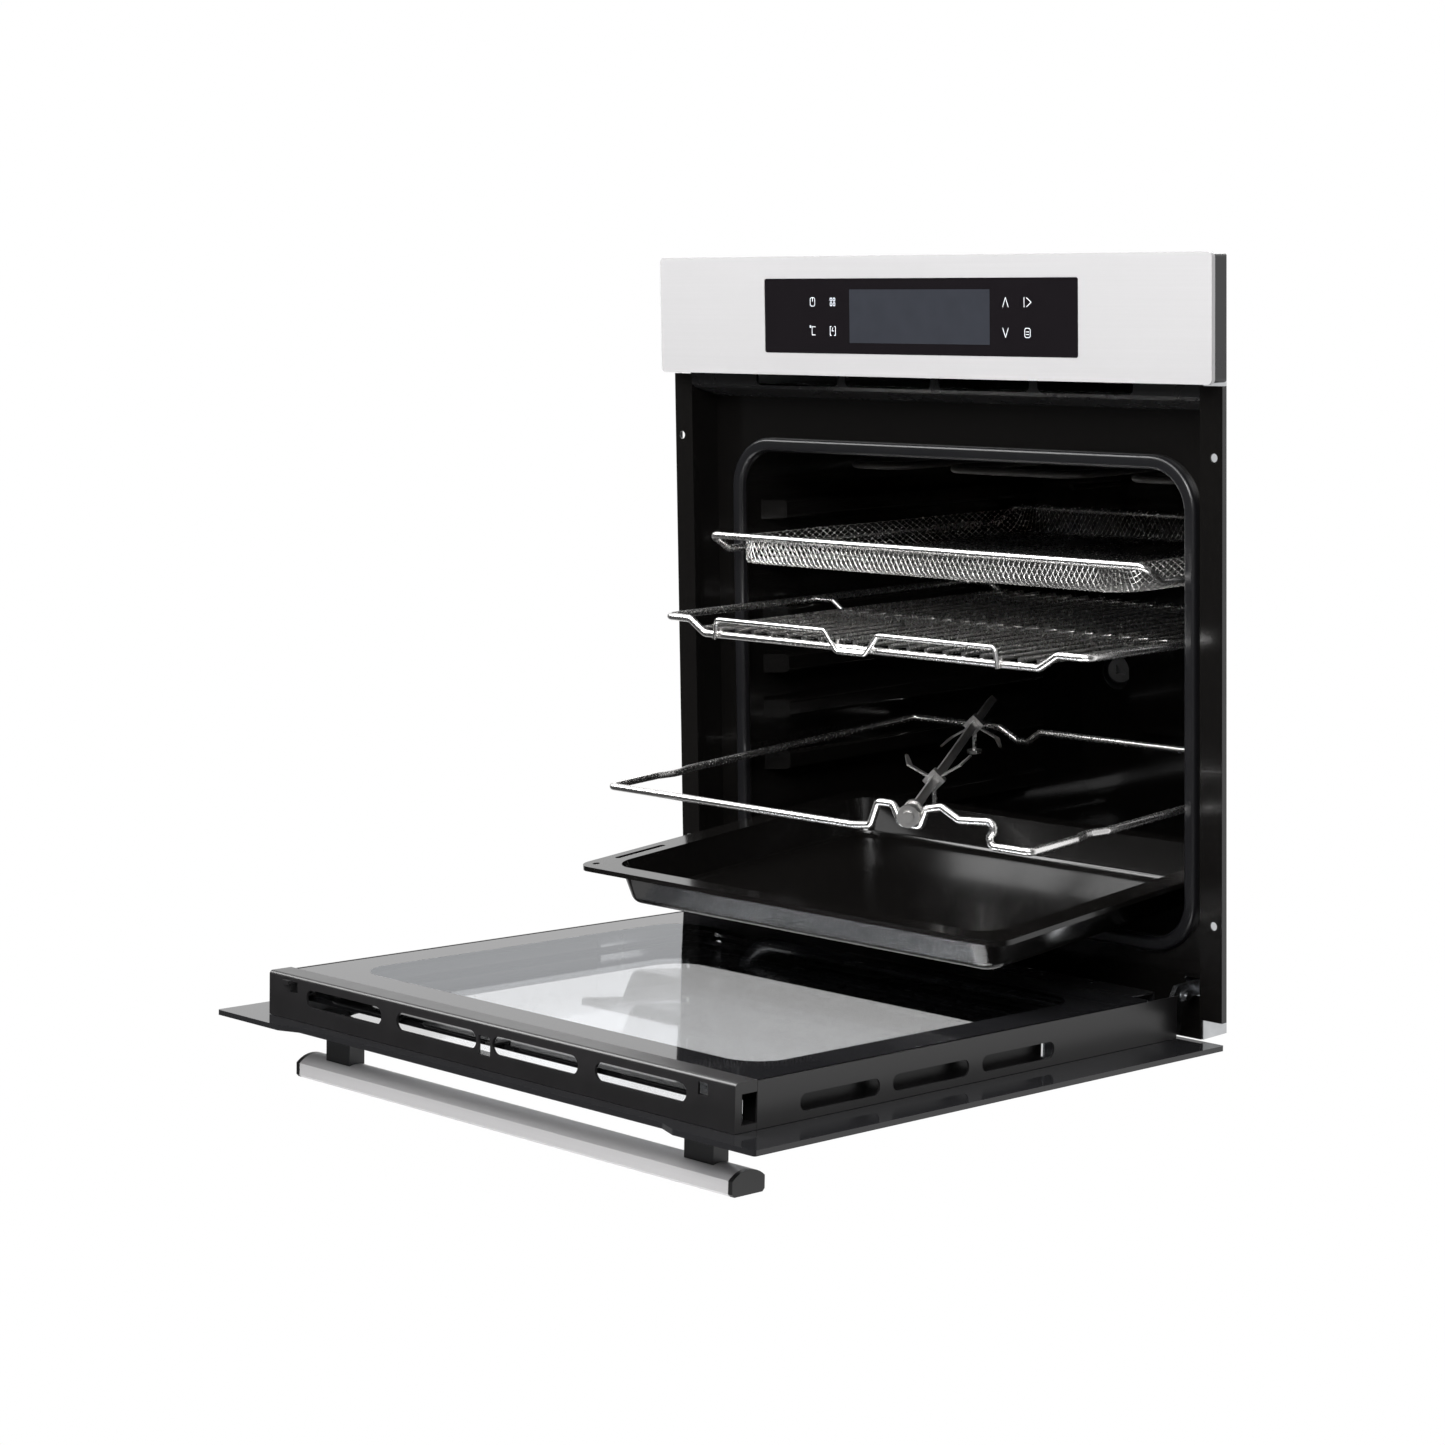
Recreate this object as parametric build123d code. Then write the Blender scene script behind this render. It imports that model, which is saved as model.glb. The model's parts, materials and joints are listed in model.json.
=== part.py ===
"""Built-in single wall oven: stainless fascia, open drop-down glass door, enamelled cavity and four accessories.

Modelling coordinates, in millimetres: X runs across the oven from its centreline, Y runs into the oven from
the front plane of the fascia and of the closed door, and Z runs up from the underside of the casing. Every
piece is shifted on export so that the origin is the centre of the four fixing holes in the front flange.
The door is built closed and swung open about its hinge axis. The accessories are built pulled out.
"""

import os
from math import atan2, ceil, cos, degrees, hypot, pi, radians, sin, sqrt, tan

from build123d import *

# ---------------------------------------------------------------- overall
OVEN_WIDTH = 595.0
OVEN_HEIGHT = 595.0
FASCIA_HEIGHT = 97.0
DOOR_GAP = 3.5            # between the closed door and the fascia
DOOR_BOTTOM_Z = 4.0
SEAT_GAP = 0.3            # air left between a piece and what it rests on
RUNNING_FIT = 0.05        # radial clearance of a shaft in its bore
SHEET = 1.0               # casing and liner sheet

# ---------------------------------------------------------------- front frame
FRAME_T = 1.2
FLANGE_Y = 14.2           # front of the flange, behind the fascia's front plane
FACE_Y = 43.5             # front of the recessed face that carries the gasket
FLANGE_HALF = 296.5
COLUMN_HALF = 275.5       # inner side of each column
LIP_BACK_Y = 21.0
FLANGE_TOP_Z = 496.5
FLANGE_BOTTOM_Z = 18.7
FRAME_TOP_Z = 590.0
FRAME_BOTTOM_Z = 3.5
FIXING_HALF_X = 288.5
FIXING_Z_LOW = 92.0
FIXING_Z_HIGH = 443.5
FIXING_R = 3.3

# ---------------------------------------------------------------- cavity
OPENING_HALF_W = 240.0
OPENING_Z_LOW = 70.0
OPENING_Z_HIGH = 430.0
OPENING_R = 32.0
GASKET_W = 11.0
GASKET_INSET = 1.0        # from the opening's edge to the gasket
LINER_SIDE_GAP = 2.0      # how far the liner's walls stand outside the opening
LINER_BACK_Y = 490.0
LINER_FLANGE_W = 9.0
INSULATION_T = 24.0
INSULATION_FRONT_Y = 80.0

# ---------------------------------------------------------------- casing
CASING_HALF_W = 278.0
CASING_BACK_Y = 560.0
DECK_Z = 462.0
CASING_FIT = 0.1

# ---------------------------------------------------------------- door, in its closed position
DOOR_OPEN_DEG = 87.5
HINGE_Y = 11.0
HINGE_Z = 9.2
HINGE_PIN_R = 2.5
HINGE_LUG_R = 5.0
HINGE_X = 250.0
GLASS_T = 4.0
DOOR_INNER_Y = 36.7       # inner face of the inner glass
TRIM_INNER_Y = 38.0
TRIM_HALF_W = 258.0
TRIM_TOP_DROP = 20.0      # from the outer glass's upper edge to the top trim's face
TRIM_DEPTH = 26.0
TRIM_WALL = 2.0
EDGE_STRIP_T = 1.2
INNER_GLASS_HALF_W = 254.0
INNER_GLASS_BOTTOM_Z = 41.0
MIDDLE_GLASS_HALF_W = 233.0
MIDDLE_GLASS_Y = 18.0
PROFILE_HALF_W = 258.0
PROFILE_T = 1.5
RAIL_BOTTOM_Z = 12.0
RAIL_HALF_W = 236.0

# ---------------------------------------------------------------- handle
HANDLE_LENGTH = 476.0
HANDLE_WIDTH = 30.0
HANDLE_THICK = 17.0
HANDLE_DOME = 6.0         # rise of the domed inner side
HANDLE_STANDOFF = 27.0    # from the glass to the dome's crown
HANDLE_DROP = 49.0        # from the door's upper edge to the handle's centreline
HANDLE_WALL = 2.2
HANDLE_CAP_T = 4.0
POST_WIDTH = 29.0
POST_DEPTH = 14.0
POST_X = 200.5

# ---------------------------------------------------------------- fascia
FASCIA_T = 1.0
FASCIA_RETURN = 4.0
FASCIA_CORNER_R = 4.0
WINDOW_W = 340.0
WINDOW_H = 61.0
WINDOW_R = 2.0
DISPLAY_GLASS_T = 3.0
DISPLAY_RECESS = 0.2
LCD_W = 152.0
LCD_H = 46.0
KEY_X = (-117.0, -93.0, 94.0, 117.0)
KEY_DZ = 11.5

# ---------------------------------------------------------------- air outlet
VENT_SLOT_L = 95.5
VENT_SLOT_H = 15.0
VENT_SLOT_PITCH = 104.0
VENT_ROW_X = 8.0
VENT_SLOT_Z = 488.0
VENT_FOOT_Z = 485.0
VENT_BACK_Z = 477.0

# ---------------------------------------------------------------- runners and accessories
RUNNER_FRONT_Y = 78.0
RUNNER_BACK_Y = 415.0
RUNNER_RAMP = 16.0
RUNNER_H = 16.0
RUNNER_HALF_X = 226.0
SPARE_RUNNERS_Z = (212.0, 252.0, 386.0)

WIRE_R = 3.0
ROD_R = 2.0

BASKET_HALF_W = 236.0
BASKET_FRONT_Y = -2.0
BASKET_BACK_Y = 385.0
BASKET_RIM_Z = 361.0
BASKET_RAIL_DROP = 13.0
BASKET_MESH_HALF_W = 212.0
BASKET_MESH_DEPTH = 25.0
BASKET_MESH_T = 1.2

RACK_HALF_W = 230.0
RACK_FRONT_Y = -61.0
RACK_BACK_Y = 313.0
RACK_RAIL_Z = 297.0
RACK_BAR_Z = 286.0
RACK_ROD_COUNT = 20
RACK_ROD_SPAN = 366.0
RACK_TIE_Y = 115.0

FRAME_HALF_W = 230.0
FRAME_FRONT_Y = -127.0
FRAME_DEPTH = 368.0
FRAME_FRONT_Z = 161.0
FRAME_DROOP = 0.048       # rise per unit of depth: it hangs down in front when pulled out

TRAY_HALF_W = 233.0
TRAY_FRONT_Y = -164.0
TRAY_DEPTH = 330.0
TRAY_FRONT_Z = 100.0
TRAY_DROOP = 0.065
TRAY_RIM_SIDE = 23.0
TRAY_RIM_FRONT = 15.0
TRAY_PAN_H = 33.0
TRAY_T = 1.2
TRAY_LIP_H = 4.0

SPIT_SIDE = 6.5
SPIT_BUSH_X = 111.0
SPIT_CROSS_X = -150.0     # where it lies on the frame's back bar
SPIT_OVERHANG = 94.0
BUSH_R = 6.0
BUSH_COLLAR_R = 8.5
BUSH_NECK = 20.8
BUSH_COLLAR_END = 16.0
BUSH_STUB_END = 19.0
FRAME_TRAVEL = 185.0      # how far the rotisserie frame slides in as the door closes

# ---------------------------------------------------------------- heating and fans
ELEMENT_R = 3.25
GRILL_Z = 417.0
FAN_Z = 275.0
FAN_R = 75.0
BAFFLE_HALF_W = 150.0
BAFFLE_Z_LOW = 150.0
BAFFLE_Z_HIGH = 400.0
BAFFLE_Y = 449.0
COOLING_X = 0.0
COOLING_Y = 400.0
COOLING_R = 58.0
LAMP_X = 195.0
LAMP_Z = 360.0
LAMP_R = 20.0

HINGE_SLOT_W = 24.0
HINGE_SLOT_H = 14.0
HINGE_SLOT_Z = 35.0
DUCT_HALF_FRONT = 225.0
DUCT_HALF_BACK = 62.0
DUCT_TOP_Z = 512.0
CRADLE_Z = 167.7          # wire centreline under the spit's bush
GRILL_TAIL_X = 22.0
RING_TAIL_X = 14.0
RING_R = 96.0
PROBE_X = -195.0
PROBE_Z = 378.0
PROBE_R = 2.5
HINGE_ARM_T = 4.0
HINGE_PLATE_T = 1.5
HINGE_PLATE_X = 4.9       # from the arm's centre to each door plate
HINGE_REACH_Z = 150.0
LOCK_T = 1.4
LOCK_Y = 27.0
LOCK_Z = 31.0
LOCK_PIN_R = 1.8
DECK_TOP_Z = 486.7
ROTOR_BLADES = 24
MOTOR_R = 30.0
SPIT_GUARD_R = 20.0
SOCKET_R = 12.0
SOCKET_LEAD = 3.0         # air between the spit's tip and its drive socket
SOCKET_L = 14.0
SCREW_R = 2.0
SCREW_HEAD_R = 4.0
SCREW_HEAD_H = 2.2
TRAY_PAN_HALF_W = TRAY_HALF_W - TRAY_RIM_SIDE
DUCT_BACK_Y = 325.0
TERMINAL_X = -180.0
TERMINAL_Z = 525.0
WELD = 0.4               # depth two welded wires sink into each other
RUNNER_LEAD = 10.0        # part of the runner ahead of its full width that a rail already meets

ORIGIN = (0.0, FLANGE_Y + FRAME_T, (FIXING_Z_LOW + FIXING_Z_HIGH) / 2)
DOOR_TOP_Z = OVEN_HEIGHT - FASCIA_HEIGHT - DOOR_GAP
FASCIA_BOTTOM_Z = OVEN_HEIGHT - FASCIA_HEIGHT
FASCIA_MID_Z = OVEN_HEIGHT - FASCIA_HEIGHT / 2
OPENING_MID_Z = (OPENING_Z_LOW + OPENING_Z_HIGH) / 2
FRAME_BACK_Y = FACE_Y + FRAME_T
LINER_HALF_W = OPENING_HALF_W + LINER_SIDE_GAP
LINER_HALF_H = (OPENING_Z_HIGH - OPENING_Z_LOW) / 2 + LINER_SIDE_GAP
LINER_R = OPENING_R + LINER_SIDE_GAP
TRIM_TOP_Z = DOOR_TOP_Z - TRIM_TOP_DROP
PANEL_INNER_X = CASING_HALF_W - SHEET
FRAME_FOOT_X = COLUMN_HALF - SEAT_GAP
GUARD = 1.0               # how far a cutter runs past the face it cuts


# ================================================================ helpers
def block(x_span, y_span, z_span):
    """A box between two corners."""
    size = [high - low for low, high in (x_span, y_span, z_span)]
    centre = [(low + high) / 2 for low, high in (x_span, y_span, z_span)]
    return Pos(*centre) * Box(*size)


def slab(width, height, radius, y_span, x=0.0, z=0.0):
    """A rounded rectangle in the XZ plane, thick along Y."""
    outline = Plane.XZ * RectangleRounded(width, height, radius)
    return Pos(x, y_span[1], z) * extrude(outline, y_span[1] - y_span[0])


def rod_y(radius, y_span, x, z):
    """A cylinder along Y."""
    return Pos(x, y_span[1], z) * extrude(Plane.XZ * Circle(radius), y_span[1] - y_span[0])


def rod_x(radius, x_span, y, z):
    """A cylinder along X."""
    return Pos(x_span[0], y, z) * extrude(Plane.YZ * Circle(radius), x_span[1] - x_span[0])


def rod_z(radius, z_span, x, y):
    """A cylinder along Z."""
    return Pos(x, y, z_span[0]) * extrude(Circle(radius), z_span[1] - z_span[0])


def plate_yz(points, x_span):
    """A polygon in the YZ plane, thick along X."""
    outline = Plane.YZ * make_face(Polyline(*points, close=True))
    return Pos(x_span[0], 0, 0) * extrude(outline, x_span[1] - x_span[0])


def mirrored(solid):
    """The same piece on the other side of the centreline."""
    return mirror(solid, about=Plane.YZ)


def wire_solid(points, radius, bend, close=False):
    """Round wire bent at each point with one bend radius."""
    path = FilletPolyline(*points, radius=bend, close=close)
    section = Plane(origin=path @ 0, z_dir=path % 0) * Circle(radius)
    return sweep(section, path=path)


def opened(solid):
    """A door piece swung from closed to open about the hinge axis."""
    axis = Axis((0, HINGE_Y, HINGE_Z), (1, 0, 0))
    return solid.rotate(axis, DOOR_OPEN_DEG)


def drooped(solid, droop, front_y, front_z):
    """An accessory built level at the local origin, tipped down in front and moved into place."""
    return Pos(0, front_y, front_z) * Rot(degrees(atan2(droop, 1.0)), 0, 0) * solid


def plane_z(droop, front_y, front_z, y):
    """Height of a drooped accessory's plane at a given depth."""
    return front_z + droop * (y - front_y)


# ================================================================ front frame and air outlet
def front_frame():
    """Enamelled frame: two flanged columns, the recessed face with the cavity opening, and a lower lip."""
    face = block((-COLUMN_HALF - FRAME_T, COLUMN_HALF + FRAME_T), (FACE_Y, FRAME_BACK_Y),
                 (FRAME_BOTTOM_Z, FRAME_TOP_Z))
    lip = block((-COLUMN_HALF - FRAME_T, COLUMN_HALF + FRAME_T), (FLANGE_Y, FRAME_BACK_Y),
                (FRAME_BOTTOM_Z, FRAME_BOTTOM_Z + FRAME_T))
    flange = block((COLUMN_HALF, FLANGE_HALF), (FLANGE_Y, FLANGE_Y + FRAME_T), (FLANGE_BOTTOM_Z, FLANGE_TOP_Z))
    edge = block((FLANGE_HALF - FRAME_T, FLANGE_HALF), (FLANGE_Y, LIP_BACK_Y), (FLANGE_BOTTOM_Z, FLANGE_TOP_Z))
    wall = block((COLUMN_HALF, COLUMN_HALF + FRAME_T), (FLANGE_Y, FRAME_BACK_Y), (FRAME_BOTTOM_Z, FRAME_TOP_Z))
    column = flange + edge + wall
    for z in (FIXING_Z_LOW, FIXING_Z_HIGH):
        column -= rod_y(FIXING_R, (FLANGE_Y - GUARD, LIP_BACK_Y), FIXING_HALF_X, z)
    frame = face + lip + column + mirrored(column)
    frame -= slab(2 * OPENING_HALF_W, OPENING_Z_HIGH - OPENING_Z_LOW, OPENING_R,
                  (FACE_Y - GUARD, FRAME_BACK_Y + GUARD), 0, OPENING_MID_Z)
    for side in (-1, 1):
        frame -= slab(HINGE_SLOT_W, HINGE_SLOT_H, 2.0, (FACE_Y - GUARD, FRAME_BACK_Y + GUARD),
                      side * HINGE_X, HINGE_SLOT_Z)
    frame -= block((-DUCT_HALF_FRONT, DUCT_HALF_FRONT), (FACE_Y - GUARD, FRAME_BACK_Y + GUARD),
                   (VENT_SLOT_Z, DUCT_TOP_Z - SHEET))
    return frame


def vent_slot_centres():
    """X of the four air outlet slots."""
    return [VENT_ROW_X + VENT_SLOT_PITCH * (i - 1.5) for i in range(4)]


def vent_strip():
    """Air outlet strip under the fascia: a slotted front with a sloping underside that meets the face."""
    front, back = FLANGE_Y, FACE_Y
    outer = [(front, VENT_FOOT_Z + 3), (front, DUCT_TOP_Z), (front + FRAME_T, DUCT_TOP_Z),
             (front + FRAME_T, VENT_FOOT_Z + 3.4), (front + 4.2, VENT_FOOT_Z + FRAME_T),
             (back, VENT_BACK_Z + FRAME_T), (back, VENT_BACK_Z), (front + 3.6, VENT_FOOT_Z)]
    half = COLUMN_HALF - CASING_FIT
    strip = plate_yz(outer, (-half, half))
    for x in vent_slot_centres():
        strip -= slab(VENT_SLOT_L, VENT_SLOT_H, 5.0, (front - GUARD, front + FRAME_T + GUARD),
                      x, VENT_SLOT_Z + VENT_SLOT_H / 2)
    return strip


# ================================================================ cavity
def runner_levels():
    """Top of each pressed runner: one under each accessory, and spare levels between them."""
    toe = RUNNER_FRONT_Y - RUNNER_LEAD
    tray = plane_z(TRAY_DROOP, TRAY_FRONT_Y, TRAY_FRONT_Z, toe) - TRAY_LIP_H - SEAT_GAP
    frame = plane_z(FRAME_DROOP, FRAME_FRONT_Y, FRAME_FRONT_Z, toe) - WIRE_R - SEAT_GAP
    rack = RACK_RAIL_Z - WIRE_R - SEAT_GAP
    basket = BASKET_RIM_Z - BASKET_RAIL_DROP - WIRE_R - SEAT_GAP
    return [tray, frame, rack, basket, *SPARE_RUNNERS_Z]


def runner(top_z, grow=0.0):
    """One pressed runner on the right wall: a ramped plan extruded up to its top."""
    inner = RUNNER_HALF_X - grow
    plan = Polyline((LINER_HALF_W + 0.5, RUNNER_FRONT_Y - RUNNER_RAMP - grow),
                    (inner, RUNNER_FRONT_Y - grow), (inner, RUNNER_BACK_Y + grow),
                    (LINER_HALF_W + 0.5, RUNNER_BACK_Y + RUNNER_RAMP + grow), close=True)
    bottom = top_z - RUNNER_H - grow
    solid = Pos(0, 0, bottom) * extrude(make_face(plan), RUNNER_H + 2 * grow)
    inner_edges = solid.edges().filter_by(Axis.Y).group_by(Axis.X)[0]
    return fillet(inner_edges, 3.0) if grow == 0.0 else solid


def cavity_liner():
    """Enamelled cavity: a rounded five-sided box with pressed runners, a front flange and its openings."""
    outer_w, outer_h = 2 * (LINER_HALF_W + SHEET), 2 * (LINER_HALF_H + SHEET)
    box = slab(outer_w, outer_h, LINER_R + SHEET, (FRAME_BACK_Y, LINER_BACK_Y + SHEET), 0, OPENING_MID_Z)
    box += slab(outer_w + 2 * LINER_FLANGE_W, outer_h + 2 * LINER_FLANGE_W, LINER_R + LINER_FLANGE_W,
                (FRAME_BACK_Y, FRAME_BACK_Y + SHEET), 0, OPENING_MID_Z)
    box -= slab(2 * LINER_HALF_W, 2 * LINER_HALF_H, LINER_R, (FRAME_BACK_Y - GUARD, LINER_BACK_Y),
                0, OPENING_MID_Z)
    for level in runner_levels():
        right = runner(level)
        box += right + mirrored(right)
    for x, z, radius in liner_holes():
        box -= rod_y(radius, (LINER_BACK_Y - GUARD, LINER_BACK_Y + SHEET + GUARD), x, z)
    return box


def spit_points():
    """Bush centre, crossing over the back bar and unit direction of the spit, with the frame pulled out."""
    wire_top = frame_bar_z(0.0) + WIRE_R
    bush = (SPIT_BUSH_X, FRAME_FRONT_Y, CRADLE_Z + WIRE_R + SEAT_GAP + BUSH_R)
    back_y = FRAME_FRONT_Y + FRAME_DEPTH
    cross = (SPIT_CROSS_X, back_y, frame_bar_z(FRAME_DEPTH) + WIRE_R + SEAT_GAP + SPIT_SIDE / 2 * sqrt(2))
    run = [c - b for b, c in zip(bush, cross)]
    length = sqrt(sum(v * v for v in run))
    return bush, cross, [v / length for v in run], length, wire_top


def frame_bar_z(depth):
    """Height of the rotisserie frame's wire centreline at a depth behind its front bar."""
    return FRAME_FRONT_Z + FRAME_DROOP * depth


def spit_tip_closed():
    """The spit's tip when the frame has slid in with the closed door."""
    bush, _, way, length, _ = spit_points()
    tip = [b + w * (length + SPIT_OVERHANG) for b, w in zip(bush, way)]
    return (tip[0], tip[1] + FRAME_TRAVEL * cos(atan2(FRAME_DROOP, 1)),
            tip[2] + FRAME_TRAVEL * sin(atan2(FRAME_DROOP, 1)))


def socket_hole():
    """Centre and radius of the opening in the liner's back wall that the spit's tip passes through."""
    tip = spit_tip_closed()
    _, _, way, _, _ = spit_points()
    crossing_x = tip[0] - way[0] / way[1] * (tip[1] - LINER_BACK_Y)
    return (crossing_x + tip[0]) / 2, tip[2], 17.0


def liner_holes():
    """X, Z and radius of each hole in the back wall: fan shaft, elements, lamp, probe and spit."""
    spit_x, spit_z, spit_r = socket_hole()
    element = ELEMENT_R + SEAT_GAP
    holes = [(0.0, FAN_Z, 8.0), (LAMP_X, LAMP_Z, LAMP_R + SEAT_GAP), (PROBE_X, PROBE_Z, PROBE_R + SEAT_GAP),
             (spit_x, spit_z, spit_r)]
    holes += [(side * GRILL_TAIL_X, GRILL_Z, element) for side in (-1, 1)]
    ring_z = FAN_Z - sqrt(RING_R ** 2 - RING_TAIL_X ** 2)
    holes += [(side * RING_TAIL_X, ring_z, element) for side in (-1, 1)]
    return holes


def cavity_gasket():
    """Silicone door seal: a rounded loop on the recessed face, just clear of the closed inner glass."""
    y_span = (DOOR_INNER_Y + 0.4, FACE_Y)
    inner_w = 2 * (OPENING_HALF_W + GASKET_INSET)
    inner_h = OPENING_Z_HIGH - OPENING_Z_LOW + 2 * GASKET_INSET
    ring = slab(inner_w + 2 * GASKET_W, inner_h + 2 * GASKET_W, OPENING_R + GASKET_INSET + GASKET_W,
                y_span, 0, OPENING_MID_Z)
    ring -= slab(inner_w, inner_h, OPENING_R + GASKET_INSET, (y_span[0] - GUARD, y_span[1] + GUARD),
                 0, OPENING_MID_Z)
    return fillet(ring.edges().group_by(Axis.Y)[0], GASKET_W * 0.3)


def rear_baffle():
    """Fan cover in the cavity: a rounded pan with an intake grille and outlet slots at its sides."""
    mid_z = (BAFFLE_Z_LOW + BAFFLE_Z_HIGH) / 2
    height = BAFFLE_Z_HIGH - BAFFLE_Z_LOW
    back = LINER_BACK_Y - SEAT_GAP
    pan = slab(2 * BAFFLE_HALF_W, height, 28.0, (BAFFLE_Y, back), 0, mid_z)
    pan -= slab(2 * (BAFFLE_HALF_W - SHEET), height - 2 * SHEET, 27.0, (BAFFLE_Y + SHEET, back + GUARD), 0, mid_z)
    holes = [rod_y(4.0, (BAFFLE_Y - GUARD, BAFFLE_Y + SHEET + GUARD), 0, FAN_Z)]
    for ring_index in range(1, 4):
        count = 6 * ring_index
        for i in range(count):
            angle = 2 * pi * i / count
            holes.append(rod_y(4.0, (BAFFLE_Y - GUARD, BAFFLE_Y + SHEET + GUARD),
                               14.0 * ring_index * cos(angle), FAN_Z + 14.0 * ring_index * sin(angle)))
    for side in (-1, 1):
        for i in range(6):
            z = mid_z + 30.0 * (i - 2.5)
            holes.append(block((side * BAFFLE_HALF_W - 6, side * BAFFLE_HALF_W + 6),
                               (BAFFLE_Y + 10, back - 8), (z - 9, z + 9)))
    return pan - holes


# ================================================================ heating
def grill_element():
    """Roof heating tube: a looped path under the roof with two tails out through the back wall."""
    tail_y = LINER_BACK_Y + 22
    half = [(GRILL_TAIL_X, tail_y), (GRILL_TAIL_X, 380), (185, 380), (185, 110), (125, 110),
            (125, 330), (70, 330), (70, 110)]
    points = [(x, y, GRILL_Z) for x, y in half]
    points += [(-x, y, GRILL_Z) for x, y in reversed(half)]
    return wire_solid(points, ELEMENT_R, 20.0)


def bottom_element():
    """Heating tube under the cavity floor, with two tails that run back."""
    z = OPENING_MID_Z - LINER_HALF_H - SHEET - SEAT_GAP - ELEMENT_R
    half = [(30, LINER_BACK_Y + 20), (30, 400), (170, 400), (170, 130), (90, 130), (90, 320), (40, 320),
            (40, 130)]
    points = [(x, y, z) for x, y in half] + [(-x, y, z) for x, y in reversed(half)]
    return wire_solid(points, ELEMENT_R, 18.0)


def ring_element():
    """Ring heating tube round the convection fan, with two tails out through the back wall."""
    y = LINER_BACK_Y - 16
    tail = asin_deg(RING_TAIL_X / RING_R)
    arc = CenterArc((0, 0), RING_R, -90 + tail, 360 - 2 * tail)
    ring = Pos(0, y, FAN_Z) * sweep(Plane.XZ * (Plane(origin=arc @ 0, z_dir=arc % 0) * Circle(ELEMENT_R)),
                                    path=Plane.XZ * arc)
    foot_z = FAN_Z - RING_R * cos(radians(tail))
    for side in (-1, 1):
        ring += rod_y(ELEMENT_R, (y, LINER_BACK_Y + 22), side * RING_TAIL_X, foot_z)
        ring += Pos(side * RING_TAIL_X, y, foot_z) * Sphere(ELEMENT_R)
    return ring


def asin_deg(ratio):
    """Arc sine in degrees."""
    return degrees(atan2(ratio, sqrt(1 - ratio * ratio)))

# ================================================================ casing
def casing_screw_places():
    """Y and Z of the casing screws on each side: top panel, cooling deck, base pan and rear panel."""
    return [(120.0, 582.0), (480.0, 582.0), (120.0, 476.0), (120.0, 12.0), (480.0, 12.0),
            (CASING_BACK_Y - 9, 540.0), (CASING_BACK_Y - 9, 150.0)]


def side_panel():
    """Right casing side with louvres for the cooling air and clearance holes for its screws."""
    panel = block((PANEL_INNER_X, CASING_HALF_W), (FLANGE_Y + FRAME_T + CASING_FIT, CASING_BACK_Y),
                  (FRAME_BOTTOM_Z, FRAME_TOP_Z))
    for i in range(6):
        y = 300.0 + 14.0 * i
        panel -= block((PANEL_INNER_X - GUARD, CASING_HALF_W + GUARD), (y, y + 6), (520, 560))
    for y, z in casing_screw_places():
        panel -= rod_x(SCREW_R + CASING_FIT, (PANEL_INNER_X - GUARD, CASING_HALF_W + GUARD), y, z)
    return panel


def flanged_sheet(y_span, z_face, z_flange):
    """A sheet across the casing with a flange along each side, drilled for the casing screws."""
    half = PANEL_INNER_X - CASING_FIT
    sheet = block((-half, half), y_span, (min(z_face, z_face + SHEET), max(z_face, z_face + SHEET)))
    low, high = min(z_face, z_flange), max(z_face, z_flange)
    flange = block((half - SHEET, half), y_span, (low, high))
    for y, z in casing_screw_places():
        if low < z < high:
            flange -= rod_x(SCREW_R + RUNNING_FIT, (half - 2 * SHEET, half + GUARD), y, z)
    return sheet + flange + mirrored(flange)


def top_panel():
    """Casing top with a down-turned flange on each side."""
    return flanged_sheet((FRAME_BACK_Y + CASING_FIT, CASING_BACK_Y - SHEET - CASING_FIT),
                         FRAME_TOP_Z - SHEET, 572.0)


def base_pan():
    """Casing floor with an upturned flange on each side and two rows of air slots."""
    pan = flanged_sheet((FRAME_BACK_Y + CASING_FIT, CASING_BACK_Y - SHEET - CASING_FIT), FRAME_BOTTOM_Z, 20.0)
    for side in (-1, 1):
        for i in range(5):
            x = side * (60.0 + 35.0 * i)
            pan -= block((x - 12, x + 12), (440, 450), (FRAME_BOTTOM_Z - GUARD, FRAME_BOTTOM_Z + SHEET + GUARD))
    return pan


def cooling_deck():
    """Sheet over the cavity that carries the cooling fan, its duct and the power board."""
    deck = flanged_sheet((FRAME_BACK_Y + CASING_FIT, 540.0), DECK_TOP_Z - SHEET, 468.0)
    return deck - rod_z(36.0, (DECK_TOP_Z - SHEET - GUARD, DECK_TOP_Z + GUARD), COOLING_X, COOLING_Y)


def rear_panel():
    """Casing back with side flanges, an entry hole for the supply and two fields of air slots."""
    half = PANEL_INNER_X - CASING_FIT
    low, high = FRAME_BOTTOM_Z + SHEET + CASING_FIT, FRAME_TOP_Z - SHEET - CASING_FIT
    panel = block((-half, half), (CASING_BACK_Y - SHEET, CASING_BACK_Y), (low, high))
    flange = block((half - SHEET, half), (CASING_BACK_Y - 18, CASING_BACK_Y), (low + 20, high - 20))
    for y, z in casing_screw_places():
        if y > CASING_BACK_Y - 18:
            flange -= rod_x(SCREW_R + RUNNING_FIT, (half - 2 * SHEET, half + GUARD), y, z)
    panel += flange + mirrored(flange)
    panel -= rod_y(9.0, (CASING_BACK_Y - SHEET - GUARD, CASING_BACK_Y + GUARD), TERMINAL_X, TERMINAL_Z)
    for side in (-1, 1):
        for i in range(6):
            z = 60.0 + 16.0 * i
            panel -= slab(120, 6, 2.9, (CASING_BACK_Y - SHEET - GUARD, CASING_BACK_Y + GUARD), side * 150, z)
    return panel


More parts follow.
